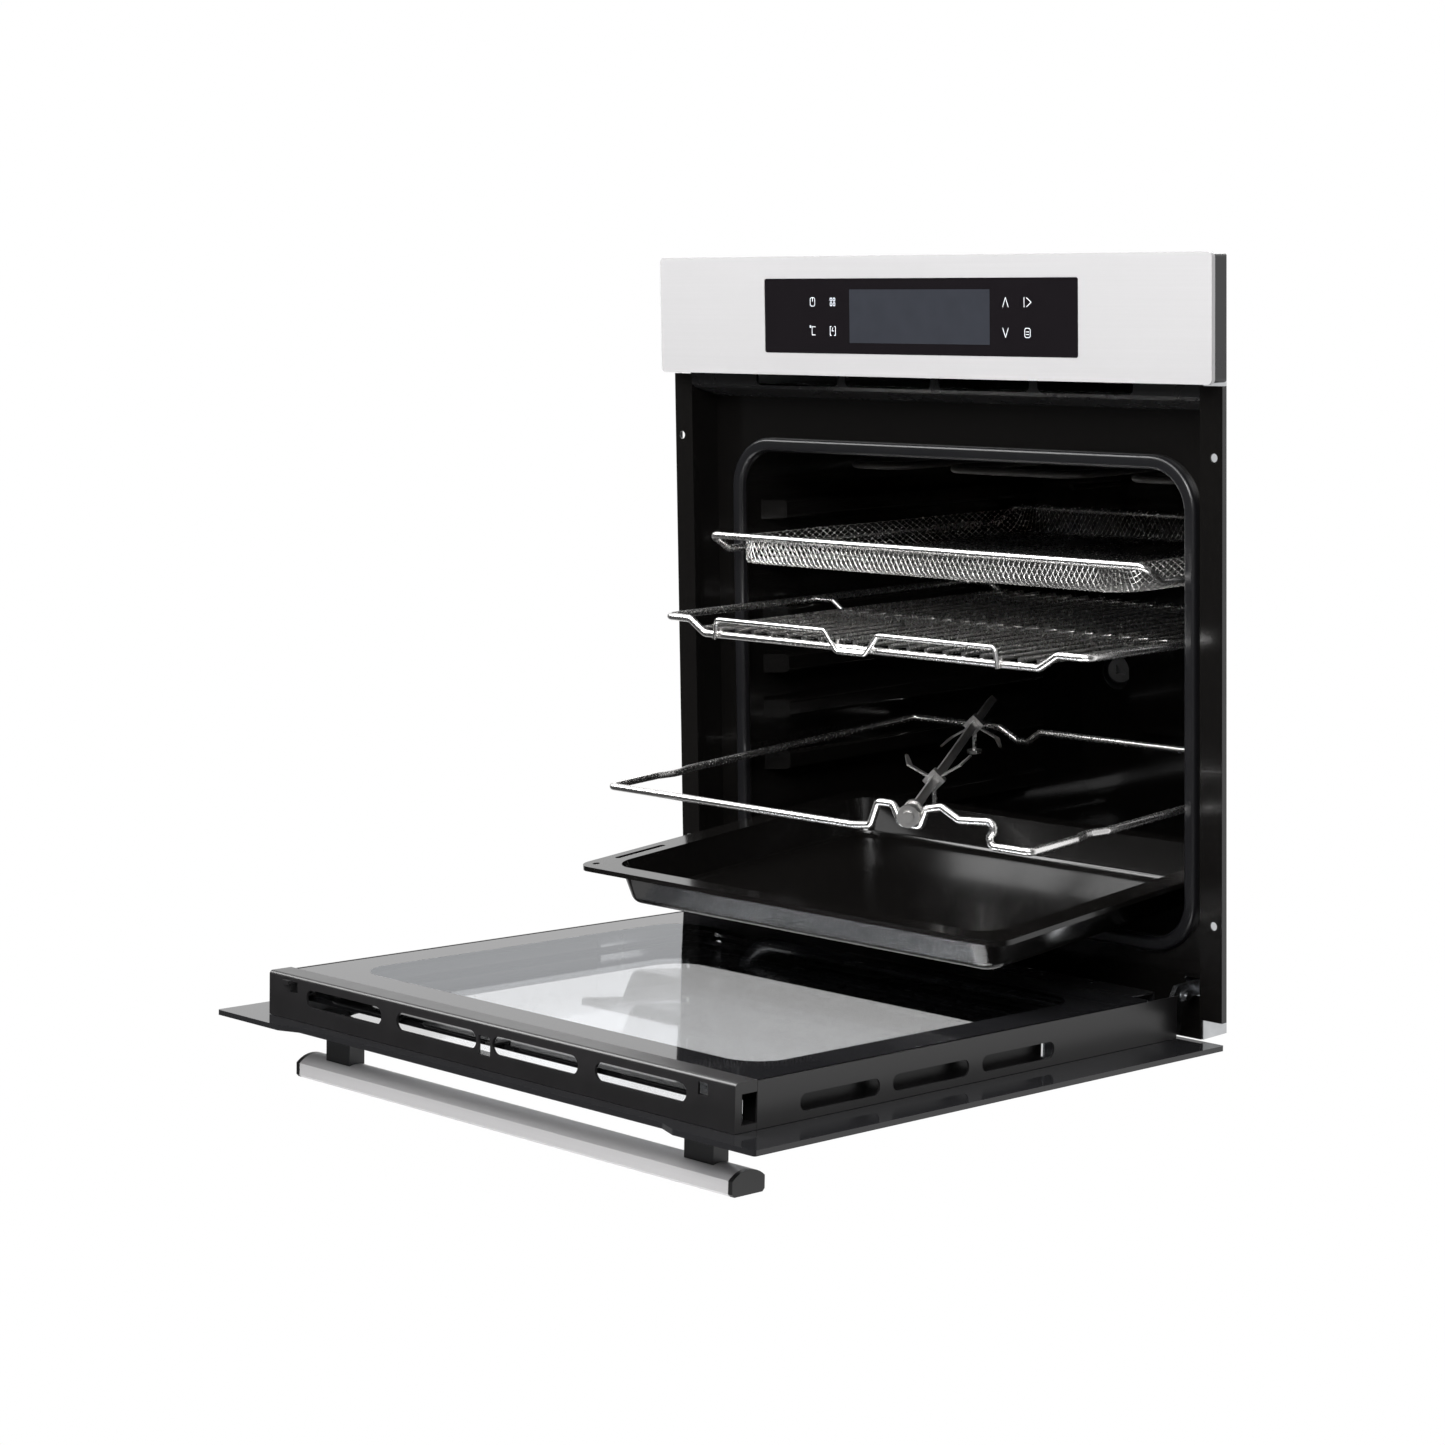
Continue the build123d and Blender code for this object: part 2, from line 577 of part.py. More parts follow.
def casing_screws():
    """Screws through the two casing sides into the flanges behind them."""
    screws = []
    for y, z in casing_screw_places():
        shank = rod_x(SCREW_R, (CASING_HALF_W - 8, CASING_HALF_W + CASING_FIT), y, z)
        head = rod_x(SCREW_HEAD_R, (CASING_HALF_W + CASING_FIT, CASING_HALF_W + CASING_FIT + SCREW_HEAD_H), y, z)
        head -= rod_x(1.4, (CASING_HALF_W + 1.2, CASING_HALF_W + 4), y, z)
        screw = shank + head
        screws += [screw, mirrored(screw)]
    return Compound(screws)


def insulation_wrap():
    """Mineral wool round the cavity and behind it, with windows for the drives and the lamp."""
    fit = 0.4
    half_w = LINER_HALF_W + SHEET + fit
    top = OPENING_MID_Z + LINER_HALF_H + SHEET + fit
    bottom = OPENING_MID_Z - LINER_HALF_H - SHEET - 2 * ELEMENT_R - 3.5
    low, high = bottom - INSULATION_T + 6, top + INSULATION_T
    y_back = LINER_BACK_Y + SHEET + fit
    wrap = slab(2 * (half_w + INSULATION_T), high - low, 30.0, (INSULATION_FRONT_Y, y_back + 22), 0, (low + high) / 2)
    wrap -= slab(2 * half_w, top - bottom, 28.0, (INSULATION_FRONT_Y - GUARD, y_back), 0, (top + bottom) / 2)
    cut = (y_back - GUARD, y_back + 22 + GUARD)
    wrap -= block((-60, 60), cut, (low - GUARD, 432))
    wrap -= rod_y(32.0, cut, LAMP_X, LAMP_Z)
    wrap -= rod_y(12.0, cut, PROBE_X, PROBE_Z)
    wrap -= block((-half_w - 8, -150), cut, (150, 245))
    return wrap


# ================================================================ fans and drives
def fan_blades(count, r_in, r_out, span, thickness, lean_deg):
    """Flat blades round the Z axis between two radii."""
    blades = []
    length = (r_out - r_in) / cos(radians(lean_deg))
    for i in range(count):
        blade = Pos((r_in + r_out) / 2, 0, (span[0] + span[1]) / 2) * Rot(0, 0, lean_deg) * Box(
            length, thickness, span[1] - span[0])
        blades.append(Rot(0, 0, 360.0 * i / count) * blade)
    return blades


def convection_fan():
    """Cavity fan and its shaft: a back disc with bent blades on a hub."""
    disc = Cylinder(FAN_R - 4, 1.5)
    blades = fan_blades(8, 16.0, FAN_R - 1, (0.0, 22.0), 1.5, 18.0)
    hub = Pos(0, 0, 4) * Cylinder(9.0, 10.0)
    fan = disc + blades + hub
    shaft = Pos(0, 0, -28) * Cylinder(4.0, 70.0)
    return Pos(0, LINER_BACK_Y - 8, FAN_Z) * Rot(90, 0, 0) * (fan + shaft)


def convection_motor():
    """Fan motor behind the cavity: a mounting plate, two pillars, a stator stack and its bearing tube."""
    wall = LINER_BACK_Y + SHEET + SEAT_GAP
    plate = block((-45, 45), (wall, wall + 2), (FAN_Z - 18, FAN_Z + 18))
    stack = block((-28, 28), (wall + 22, wall + 44), (FAN_Z - 26, FAN_Z + 26))
    motor = plate + stack
    for x in (-20, 20):
        motor += rod_y(4.0, (wall + 1, wall + 23), x, FAN_Z)
        motor += rod_y(9.0, (wall + 20, wall + 46), 0, FAN_Z - x * 0.9)
    return motor - rod_y(4.0 + RUNNING_FIT, (wall - GUARD, wall + 60), 0, FAN_Z)


def cooling_rotor():
    """Radial wheel of the cooling fan with its shaft."""
    disc = Pos(0, 0, 507.5) * Cylinder(COOLING_R, 1.5)
    blades = fan_blades(ROTOR_BLADES, COOLING_R - 16, COOLING_R - 0.5, (490.0, 508.0), 1.0, 32.0)
    ring = Pos(0, 0, 490.8) * (Cylinder(COOLING_R, 1.6) - Cylinder(COOLING_R - 12, 3.0))
    shaft = rod_z(3.0, (496.0, 545.0), 0, 0)
    hub = rod_z(9.0, (499.0, 508.0), 0, 0)
    return Pos(COOLING_X, COOLING_Y, 0) * (disc + blades + ring + shaft + hub)


def cooling_fan_housing():
    """Scroll housing of the cooling fan, open below and open forwards into the duct."""
    low, high = DECK_TOP_Z + SEAT_GAP, DUCT_TOP_Z
    outer = rod_z(72.0, (low, high), COOLING_X, COOLING_Y)
    outer += block((-DUCT_HALF_BACK, 72), (DUCT_BACK_Y + CASING_FIT, COOLING_Y), (low, high))
    inner = rod_z(71.0, (low + SHEET, high - SHEET), COOLING_X, COOLING_Y)
    inner += block((-DUCT_HALF_BACK + SHEET, 71), (DUCT_BACK_Y - GUARD, COOLING_Y), (low + SHEET, high - SHEET))
    housing = outer - inner
    housing -= rod_z(38.0, (low - GUARD, low + SHEET + GUARD), COOLING_X, COOLING_Y)
    return housing - rod_z(5.0, (high - SHEET - GUARD, high + GUARD), COOLING_X, COOLING_Y)


def air_duct():
    """Flat duct from the cooling fan to the outlet strip, widening towards the front."""
    low, high = DECK_TOP_Z + SEAT_GAP, DUCT_TOP_Z
    front = FRAME_BACK_Y + CASING_FIT
    outline = Polyline((-DUCT_HALF_FRONT - SHEET, front), (-DUCT_HALF_BACK, DUCT_BACK_Y), (72, DUCT_BACK_Y),
                       (DUCT_HALF_FRONT + SHEET, front), close=True)
    bore = Polyline((-DUCT_HALF_FRONT, front - GUARD), (-DUCT_HALF_BACK + SHEET, DUCT_BACK_Y + GUARD),
                    (71, DUCT_BACK_Y + GUARD), (DUCT_HALF_FRONT, front - GUARD), close=True)
    duct = Pos(0, 0, low) * extrude(make_face(outline), high - low)
    return duct - Pos(0, 0, low + SHEET) * extrude(make_face(bore), high - low - 2 * SHEET)


def cooling_motor():
    """Motor on the cooling housing: a flanged can with a bearing bore."""
    base = DUCT_TOP_Z + SEAT_GAP
    motor = rod_z(MOTOR_R, (base, base + 36), 0, 0) + block((-42, 42), (-10, 10), (base, base + 2))
    motor -= rod_z(3.0 + RUNNING_FIT, (base - GUARD, base + 34), 0, 0)
    return Pos(COOLING_X, COOLING_Y, 0) * motor


def along_spit(solid, lead):
    """A piece built on the Z axis, set on the closed spit's line a distance beyond its tip."""
    _, _, way, _, _ = spit_points()
    tip = spit_tip_closed()
    origin = tuple(t + w * lead for t, w in zip(tip, way))
    return Plane(origin=origin, z_dir=tuple(way)) * solid


def drive_socket():
    """Coupling cup of the rotisserie drive with its shaft."""
    cup = Pos(0, 0, SOCKET_L / 2) * Cylinder(SOCKET_R, SOCKET_L)
    cup -= Pos(0, 0, 4) * Box(9.0, 9.0, 8.0 + GUARD)
    shaft = Pos(0, 0, SOCKET_L + 8) * Cylinder(3.0, 18.0)
    return along_spit(cup + shaft, SOCKET_LEAD)


def rotisserie_motor():
    """Geared motor of the rotisserie with the guard tube that stands on the liner's back wall."""
    front = SOCKET_LEAD + SOCKET_L + 2.0
    can = Pos(0, 0, front + 11) * Cylinder(SPIT_GUARD_R, 22.0)
    can -= Pos(0, 0, front + 9) * Cylinder(3.0 + RUNNING_FIT, 20.0)
    guard = Pos(0, 0, front - 30) * (Cylinder(SPIT_GUARD_R, 62.0) - Cylinder(SPIT_GUARD_R - 4, 70.0))
    motor = along_spit(can + guard, 0.0)
    wall = LINER_BACK_Y + SHEET + SEAT_GAP
    return motor - block((-300, 0), (wall - 200, wall), (100, 300))


# ================================================================ lamp, sensors and electrics
def lamp_lens():
    """Glass cap over the oven lamp."""
    back = LINER_BACK_Y - SEAT_GAP
    cap = rod_y(27.0, (back - 22, back), LAMP_X, LAMP_Z)
    cap = fillet(cap.edges().group_by(Axis.Y)[0], 8.0)
    return cap - rod_y(24.5, (back - 19.5, back + GUARD), LAMP_X, LAMP_Z)


def lamp_holder():
    """Lamp holder: a sleeve through the back wall, a flange behind it and the lamp's contact block."""
    wall = LINER_BACK_Y + SHEET + SEAT_GAP
    holder = rod_y(LAMP_R, (LINER_BACK_Y - 6, wall + 40), LAMP_X, LAMP_Z)
    holder += rod_y(30.0, (wall, wall + 2), LAMP_X, LAMP_Z)
    holder -= rod_y(LAMP_R - 2, (LINER_BACK_Y - 7, wall + 36), LAMP_X, LAMP_Z)
    holder += rod_y(9.0, (wall + 20, wall + 37), LAMP_X, LAMP_Z)
    return holder - rod_y(6.0, (wall + 19, wall + 32), LAMP_X, LAMP_Z)


def lamp_bulb():
    """Oven lamp: a glass bulb on its pin base."""
    wall = LINER_BACK_Y + SHEET + SEAT_GAP
    bulb = rod_y(10.0, (wall - 8, wall + 19), LAMP_X, LAMP_Z)
    bulb = fillet(bulb.edges(), 8.0)
    return bulb + rod_y(5.8, (wall + 10, wall + 31), LAMP_X, LAMP_Z)


def temperature_probe():
    """Cavity sensor: a closed tube through the back wall with a flange behind it."""
    wall = LINER_BACK_Y + SHEET + SEAT_GAP
    probe = rod_y(PROBE_R, (LINER_BACK_Y - 70, wall + 12), PROBE_X, PROBE_Z)
    return probe + rod_y(9.0, (wall, wall + 1.5), PROBE_X, PROBE_Z)


def terminal_block():
    """Supply terminals inside the rear panel, with a row of screw clamps."""
    back = CASING_BACK_Y - SHEET - SEAT_GAP
    body = block((TERMINAL_X - 34, TERMINAL_X + 34), (back - 22, back), (TERMINAL_Z - 16, TERMINAL_Z + 16))
    body -= rod_y(8.0, (back - 14, back + GUARD), TERMINAL_X, TERMINAL_Z)
    for i in range(5):
        x = TERMINAL_X + 12.0 * (i - 2)
        body -= rod_z(2.4, (TERMINAL_Z + 6, TERMINAL_Z + 17), x, back - 17)
    return body


def power_board():
    """Switching board on four spacers: relays, a transformer and capacitors."""
    base = DECK_TOP_Z + SEAT_GAP
    board = block((-255, -115), (385, 500), (base + 8, base + 9.6))
    for x in (-249, -121):
        for y in (391, 494):
            board += rod_z(3.0, (base, base + 8.5), x, y)
    for i in range(4):
        x = -246 + 24.0 * i
        board += block((x, x + 16), (400, 428), (base + 9, base + 25))
    board += block((-240, -200), (445, 480), (base + 9, base + 42))
    for i in range(2):
        board += rod_z(8.0, (base + 9, base + 34), -175 + 24.0 * i, 465)
    return board


# ================================================================ fascia
def fascia_panel():
    """Brushed steel fascia with returned edges and the window for the display glass."""
    skin = slab(OVEN_WIDTH, FASCIA_HEIGHT, FASCIA_CORNER_R, (0, FASCIA_RETURN), 0, FASCIA_MID_Z)
    skin -= slab(OVEN_WIDTH - 2 * FASCIA_T, FASCIA_HEIGHT - 2 * FASCIA_T, FASCIA_CORNER_R - FASCIA_T,
                 (FASCIA_T, FASCIA_RETURN + GUARD), 0, FASCIA_MID_Z)
    return skin - slab(WINDOW_W, WINDOW_H, WINDOW_R, (-GUARD, FASCIA_T + GUARD), 0, FASCIA_MID_Z)


def fascia_carrier():
    """Moulded carrier behind the fascia: a deep rim, a bed for the display glass and screw feet."""
    rim_y = (FASCIA_RETURN + CASING_FIT, 20.0)
    width, height = OVEN_WIDTH - 2.0, FASCIA_HEIGHT - 2.0
    carrier = slab(width, height, FASCIA_CORNER_R, rim_y, 0, FASCIA_MID_Z)
    carrier -= slab(width - 5, height - 5, 2.0, (rim_y[0] - GUARD, rim_y[1] + GUARD), 0, FASCIA_MID_Z)
    bed = slab(width - 4, height - 4, 2.0, (FASCIA_RETURN + 1, FASCIA_RETURN + 3), 0, FASCIA_MID_Z)
    bed -= slab(WINDOW_W - 6, WINDOW_H - 6, 2.0, (0, 12), 0, FASCIA_MID_Z)
    carrier += bed
    for side in (-1, 1):
        foot = block((FRAME_FOOT_X - 3, FRAME_FOOT_X), (6, FACE_Y - SEAT_GAP), (535, 560))
        carrier += foot if side > 0 else mirrored(foot)
    frame_clear = block((COLUMN_HALF - CASING_FIT, FLANGE_HALF + GUARD), (FLANGE_Y - CASING_FIT, 60),
                        (400, FLANGE_TOP_Z + CASING_FIT))
    strip_clear = block((-FLANGE_HALF + 5, FLANGE_HALF - 5), (FLANGE_Y - CASING_FIT, 60), (490, 506))
    return carrier - strip_clear - frame_clear - mirrored(frame_clear)


def display_glass():
    """Dark glass insert of the fascia."""
    front = DISPLAY_RECESS
    return slab(WINDOW_W - 0.4, WINDOW_H - 0.4, WINDOW_R - 0.2, (front, front + DISPLAY_GLASS_T), 0, FASCIA_MID_Z)


def control_board():
    """Control board behind the display glass: a circuit board, the screen module and the touch springs."""
    back_of_glass = DISPLAY_RECESS + DISPLAY_GLASS_T + SEAT_GAP
    screen_x = (-LCD_W / 2 + 4, LCD_W / 2 + 4)
    board = block((-160, 160), (9.0, 10.6), (FASCIA_MID_Z - 26, FASCIA_MID_Z + 26))
    board += block(screen_x, (back_of_glass, 9.5), (FASCIA_MID_Z - LCD_H / 2, FASCIA_MID_Z + LCD_H / 2))
    for x in KEY_X:
        for dz in (-KEY_DZ, KEY_DZ):
            board += rod_y(4.0, (back_of_glass, 9.5), x, FASCIA_MID_Z + dz)
    for side in (-1, 1):
        ear = block((155, WINDOW_W / 2 - 5), (7.3, 10.6), (FASCIA_MID_Z - 26, FASCIA_MID_Z + 26))
        board += ear if side > 0 else mirrored(ear)
    return board


# ================================================================ hinges
def hinge_receivers():
    """Two sockets behind the face that hold the hinge arms, each with its cross pin."""
    front = FRAME_BACK_Y + CASING_FIT
    low, high = HINGE_SLOT_Z - HINGE_SLOT_H / 2 - 3, HINGE_SLOT_Z + HINGE_SLOT_H / 2 + 3
    shell = block((HINGE_X - 14, HINGE_X + 14), (front, front + 34), (low, high))
    shell -= block((HINGE_X - 12.5, HINGE_X + 12.5), (front - GUARD, front + 36), (low + 1.5, high - 1.5))
    shell += rod_x(3.0, (HINGE_X - 13, HINGE_X + 13), front + 14, low + 5)
    return Compound([shell, mirrored(shell)])


def hinge_arm():
    """Right hinge arm: a thick plate hooked in its receiver, with the door's pivot pin and the lock's pin."""
    low, high = HINGE_SLOT_Z - HINGE_SLOT_H / 2 + 1.5, HINGE_SLOT_Z + HINGE_SLOT_H / 2 - 1.5
    front = FRAME_BACK_Y + CASING_FIT
    half = HINGE_ARM_T / 2
    plate = plate_yz([(6, 9), (6, 24), (17, high), (front + 30, high), (front + 30, low),
                      (30, low), (23, 22), (16, 9)], (HINGE_X - half, HINGE_X + half))
    plate += rod_x(HINGE_LUG_R, (HINGE_X - half, HINGE_X + half), HINGE_Y, HINGE_Z)
    hook = block((HINGE_X - half - 1, HINGE_X + half + 1), (front + 10.5, front + 17.5), (low - 5, low + 3.9))
    plate -= hook
    pin = rod_x(HINGE_PIN_R, (HINGE_X - 7, HINGE_X + 7), HINGE_Y, HINGE_Z)
    lock_pin = rod_x(LOCK_PIN_R, (HINGE_X, HINGE_X + half + LOCK_T + 1.2), LOCK_Y, LOCK_Z)
    lock_head = rod_x(LOCK_PIN_R + 1.2, (HINGE_X + half + LOCK_T + 0.4, HINGE_X + half + LOCK_T + 1.4), LOCK_Y, LOCK_Z)
    return plate + pin + lock_pin + lock_head


def hinge_lock():
    """Right lock lever: a flat claw beside the arm that can be swung up to hold the hinge for removal."""
    x0 = HINGE_X + HINGE_ARM_T / 2 + 0.2
    lever = plate_yz([(LOCK_Y - 3.5, LOCK_Z - 3), (LOCK_Y - 3.5, LOCK_Z + 4), (LOCK_Y + 2, LOCK_Z + 5.2),
                      (LOCK_Y + 9, LOCK_Z + 3.2), (LOCK_Y + 9, LOCK_Z - 0.5), (LOCK_Y + 4, LOCK_Z - 3)],
                     (x0, x0 + LOCK_T - 0.2))
    return lever - rod_x(LOCK_PIN_R + RUNNING_FIT, (x0 - GUARD, x0 + LOCK_T + GUARD), LOCK_Y, LOCK_Z)


def hinge_body():
    """Right hinge body inside the door, closed position: two plates on the pivot pin, joined by a back."""
    plates = []
    for side in (-1, 1):
        x = HINGE_X + side * (HINGE_PLATE_X + HINGE_PLATE_T / 2)
        span = (x - HINGE_PLATE_T / 2, x + HINGE_PLATE_T / 2)
        plate = plate_yz([(6.5, 12), (6.5, HINGE_REACH_Z), (28, HINGE_REACH_Z), (30, 60), (24, 22), (16, 12)], span)
        plate += rod_x(HINGE_LUG_R, span, HINGE_Y, HINGE_Z)
        plates.append(plate - rod_x(HINGE_PIN_R + RUNNING_FIT, (span[0] - GUARD, span[1] + GUARD), HINGE_Y, HINGE_Z))
    half = HINGE_PLATE_X + HINGE_PLATE_T
    web = block((HINGE_X - half, HINGE_X + half), (5.0, 6.6), (26, HINGE_REACH_Z))
    bridge = block((HINGE_X - half, HINGE_X + half), (8, 26), (HINGE_REACH_Z - 12, HINGE_REACH_Z - 10.5))
    body = plates[0] + plates[1] + web + bridge
    spring = rod_z(2.8, (62.0, HINGE_REACH_Z - 11), HINGE_X, 17.0)
    return body + spring


# ================================================================ door
def door_outer_glass():
    """Full-size outer glass with a shallow grip recess in its upper edge and holes for the handle screws."""
    height = DOOR_TOP_Z - DOOR_BOTTOM_Z
    glass = slab(OVEN_WIDTH, height, 2.0, (0, GLASS_T), 0, DOOR_BOTTOM_Z + height / 2)
    recess = Polyline((-222, DOOR_TOP_Z + 1), (-202, DOOR_TOP_Z - 7), (202, DOOR_TOP_Z - 7), (222, DOOR_TOP_Z + 1),
                      close=True)
    glass -= Pos(0, GLASS_T + GUARD, 0) * extrude(Plane.XZ * make_face(recess), GLASS_T + 2 * GUARD)
    for x, z in handle_screw_places():
        glass -= rod_y(SCREW_R + 0.6, (-GUARD, GLASS_T + GUARD), x, z)
    return glass


def door_inner_glass():
    """Inner glass, flush with the top trim and held between the side profiles."""
    top = TRIM_TOP_Z - 20.0 - SEAT_GAP
    height = top - INNER_GLASS_BOTTOM_Z
    return slab(2 * INNER_GLASS_HALF_W, height, 3.0, (DOOR_INNER_Y - GLASS_T, DOOR_INNER_Y), 0,
                INNER_GLASS_BOTTOM_Z + height / 2)


def door_middle_glass():
    """Middle glass, held in the grooves of the top trim and of the bottom rail."""
    low, high = 46.0, TRIM_TOP_Z - 12.0
    return slab(2 * MIDDLE_GLASS_HALF_W, high - low, 2.0, (MIDDLE_GLASS_Y, MIDDLE_GLASS_Y + GLASS_T), 0,
                (low + high) / 2)


def door_top_trim():
    """Moulded upper edge of the door: a hollow bar with four outlet slots, latch holes and end blocks."""
    low, high = TRIM_TOP_Z - 20.0, TRIM_TOP_Z
    front = GLASS_T + SEAT_GAP
    trim = block((-TRIM_HALF_W, TRIM_HALF_W), (front, TRIM_INNER_Y), (low, high))
    trim = fillet(trim.edges().filter_by(Axis.X).group_by(Axis.Y)[-1].sort_by(Axis.Z)[-1], 3.0)
    end = TRIM_HALF_W - 24.0
    trim -= block((-end, end), (front + TRIM_WALL, TRIM_INNER_Y - TRIM_WALL), (low - GUARD, high - TRIM_WALL))
    for x in (-165.0, -55.0, 55.0, 165.0):
        trim -= Pos(x, 23.5, high - TRIM_WALL - GUARD) * extrude(SlotOverall(92.0, 13.5), TRIM_WALL + 2 * GUARD)
    for x in (-227.0, 227.0):
        trim -= block((x - 4.75, x + 4.75), (25, 33.5), (high - 8, high + GUARD))
    trim -= block((-6.5, 6.5), (14, 28), (high - TRIM_WALL - GUARD, high + GUARD))
    for side in (-1, 1):
        groove = block((244, TRIM_HALF_W + GUARD), (9, 30), (low - GUARD, high - 6))
        trim -= groove if side > 0 else mirrored(groove)
    trim += block((-231, -223), (MIDDLE_GLASS_Y - 1.7, MIDDLE_GLASS_Y - 0.2), (low + 2, high - 1))
    for x in (-231.0, 0.0, 224.0):
        trim += block((x, x + 8), (MIDDLE_GLASS_Y + GLASS_T + 0.2, MIDDLE_GLASS_Y + GLASS_T + 1.7), (low + 2, high - 1))
    trim += block((-TRIM_HALF_W + 20, -TRIM_HALF_W + 28), (31, 34), (high - 1, high + 3))
    return trim


def door_bottom_rail():
    """Lower edge rail between the glasses: a channel with a groove for the middle glass."""
    high = INNER_GLASS_BOTTOM_Z - SEAT_GAP
    front = GLASS_T + SEAT_GAP
    rail = block((-RAIL_HALF_W, RAIL_HALF_W), (front, DOOR_INNER_Y), (RAIL_BOTTOM_Z, high))
    rail -= block((-RAIL_HALF_W - GUARD, RAIL_HALF_W + GUARD), (front + 1.5, DOOR_INNER_Y - 1.5),
                  (RAIL_BOTTOM_Z + 1.5, high + GUARD))
    for dy in (-1.6, GLASS_T + 0.2):
        y = MIDDLE_GLASS_Y + dy
        rail += block((-RAIL_HALF_W, RAIL_HALF_W), (y, y + 1.4), (RAIL_BOTTOM_Z + 1, 56))
    rail += block((-RAIL_HALF_W, RAIL_HALF_W), (MIDDLE_GLASS_Y - 1.6, MIDDLE_GLASS_Y + GLASS_T + 1.6), (43.7, 45.7))
    for i in range(6):
        x = 75.0 * (i - 2.5)
        rail -= block((x - 25, x + 25), (8, 14), (RAIL_BOTTOM_Z - GUARD, RAIL_BOTTOM_Z + 1.5 + GUARD))
    lip = block((-RAIL_HALF_W, RAIL_HALF_W), (DOOR_INNER_Y - GLASS_T - 1.8, DOOR_INNER_Y - GLASS_T - SEAT_GAP),
                (high - 8, high + 8))
    return rail + lip


def door_side_profile():
    """Right side profile between the glasses: a slotted channel that the inner glass lies on."""
    low, high = 12.0, TRIM_TOP_Z - 20.0 - SEAT_GAP
    front, back = GLASS_T + SEAT_GAP, DOOR_INNER_Y - GLASS_T - SEAT_GAP
    inner_x = PROFILE_HALF_W - PROFILE_T
    profile = block((inner_x, PROFILE_HALF_W), (front, DOOR_INNER_Y), (low, high))
    profile += block((244, PROFILE_HALF_W), (front, front + PROFILE_T), (HINGE_REACH_Z + 4, high))
    profile += block((246, PROFILE_HALF_W), (back - PROFILE_T, back), (INNER_GLASS_BOTTOM_Z, high))
    profile += block((244, 244 + PROFILE_T), (front, back), (HINGE_REACH_Z + 4, high))
    for z0, z1 in ((154, 232), (246, 324), (337, 414)):
        profile -= Pos(inner_x - GUARD, 16.0, (z0 + z1) / 2) * extrude(
            Plane.YZ * RectangleRounded(12.0, z1 - z0, 5.5), PROFILE_T + 2 * GUARD)
    return profile


# ================================================================ handle
def handle_outline(shrink=0.0):
    """D-shaped section in the XZ plane's stead: flat side outwards, domed side towards the door."""
    half = HANDLE_WIDTH / 2 - shrink
    flat = -(HANDLE_STANDOFF + HANDLE_THICK) + shrink
    crown = -HANDLE_STANDOFF - shrink
    shoulder = crown - HANDLE_DOME
    mid = DOOR_TOP_Z - HANDLE_DROP
    side = [(flat, mid - half + 2), (flat, mid + half - 2), (flat + 2, mid + half), (shoulder, mid + half)]
    path = Polyline(*side) + ThreePointArc((shoulder, mid + half), (crown, mid), (shoulder, mid - half))
    path += Polyline((shoulder, mid - half), (flat + 2, mid - half), (flat, mid - half + 2))
    return Plane.YZ * make_face(path)


def handle_bar():
    """Hollow handle bar with a threaded seat for each post."""
    half = HANDLE_LENGTH / 2
    bar = Pos(-half, 0, 0) * extrude(handle_outline(), HANDLE_LENGTH)
    return bar - Pos(-half - GUARD, 0, 0) * extrude(handle_outline(HANDLE_WALL), HANDLE_LENGTH + 2 * GUARD)


def handle_end_caps():
    """End caps of the handle bar, each with a spigot in the bar."""
    start = HANDLE_LENGTH / 2 + CASING_FIT
    cap = Pos(start, 0, 0) * extrude(handle_outline(), HANDLE_CAP_T)
    cap += Pos(start - 8, 0, 0) * extrude(handle_outline(HANDLE_WALL + CASING_FIT), 9.0)
    return Compound([cap, mirrored(cap)])


def handle_screw_places():
    """X and Z of the handle screws."""
    z = DOOR_TOP_Z - HANDLE_DROP
    return [(side * POST_X + dx, z) for side in (-1, 1) for dx in (-8.0, 8.0)]


def handle_posts():
    """Two rectangular posts between the glass and the handle bar."""
    z = DOOR_TOP_Z - HANDLE_DROP
    post = block((POST_X - POST_WIDTH / 2, POST_X + POST_WIDTH / 2), (-HANDLE_STANDOFF - 6, -CASING_FIT),
                 (z - POST_DEPTH / 2, z + POST_DEPTH / 2))
    post -= Pos(POST_X - 30, CASING_FIT, 0) * extrude(handle_outline(), 60.0)
    for x, _ in handle_screw_places()[2:]:
        post -= rod_y(SCREW_R + RUNNING_FIT, (-20, GUARD), x, z)
    return Compound([post, mirrored(post)])


def handle_screws():
    """Screws from inside the outer glass into the handle posts."""
    screws = []
    for x, z in handle_screw_places():
        head = rod_y(SCREW_HEAD_R, (GLASS_T + SEAT_GAP, GLASS_T + SEAT_GAP + SCREW_HEAD_H), x, z)
        screws.append(head + rod_y(SCREW_R, (-18, GLASS_T + SEAT_GAP + 1), x, z))
    return Compound(screws)


# ================================================================ accessories
def basket_rim():
    """Basket frame wire: raised front and back bars with lowered side rails."""
    low = BASKET_RIM_Z - BASKET_RAIL_DROP
    x, front, back = BASKET_HALF_W, BASKET_FRONT_Y, BASKET_BACK_Y
    side = [(x, front, BASKET_RIM_Z), (x, front + 20, low), (x, back - 20, low), (x, back, BASKET_RIM_Z)]
    points = side + [(-px, y, z) for px, y, z in reversed(side)]
    return wire_solid(points, WIRE_R, 7.0, close=True)


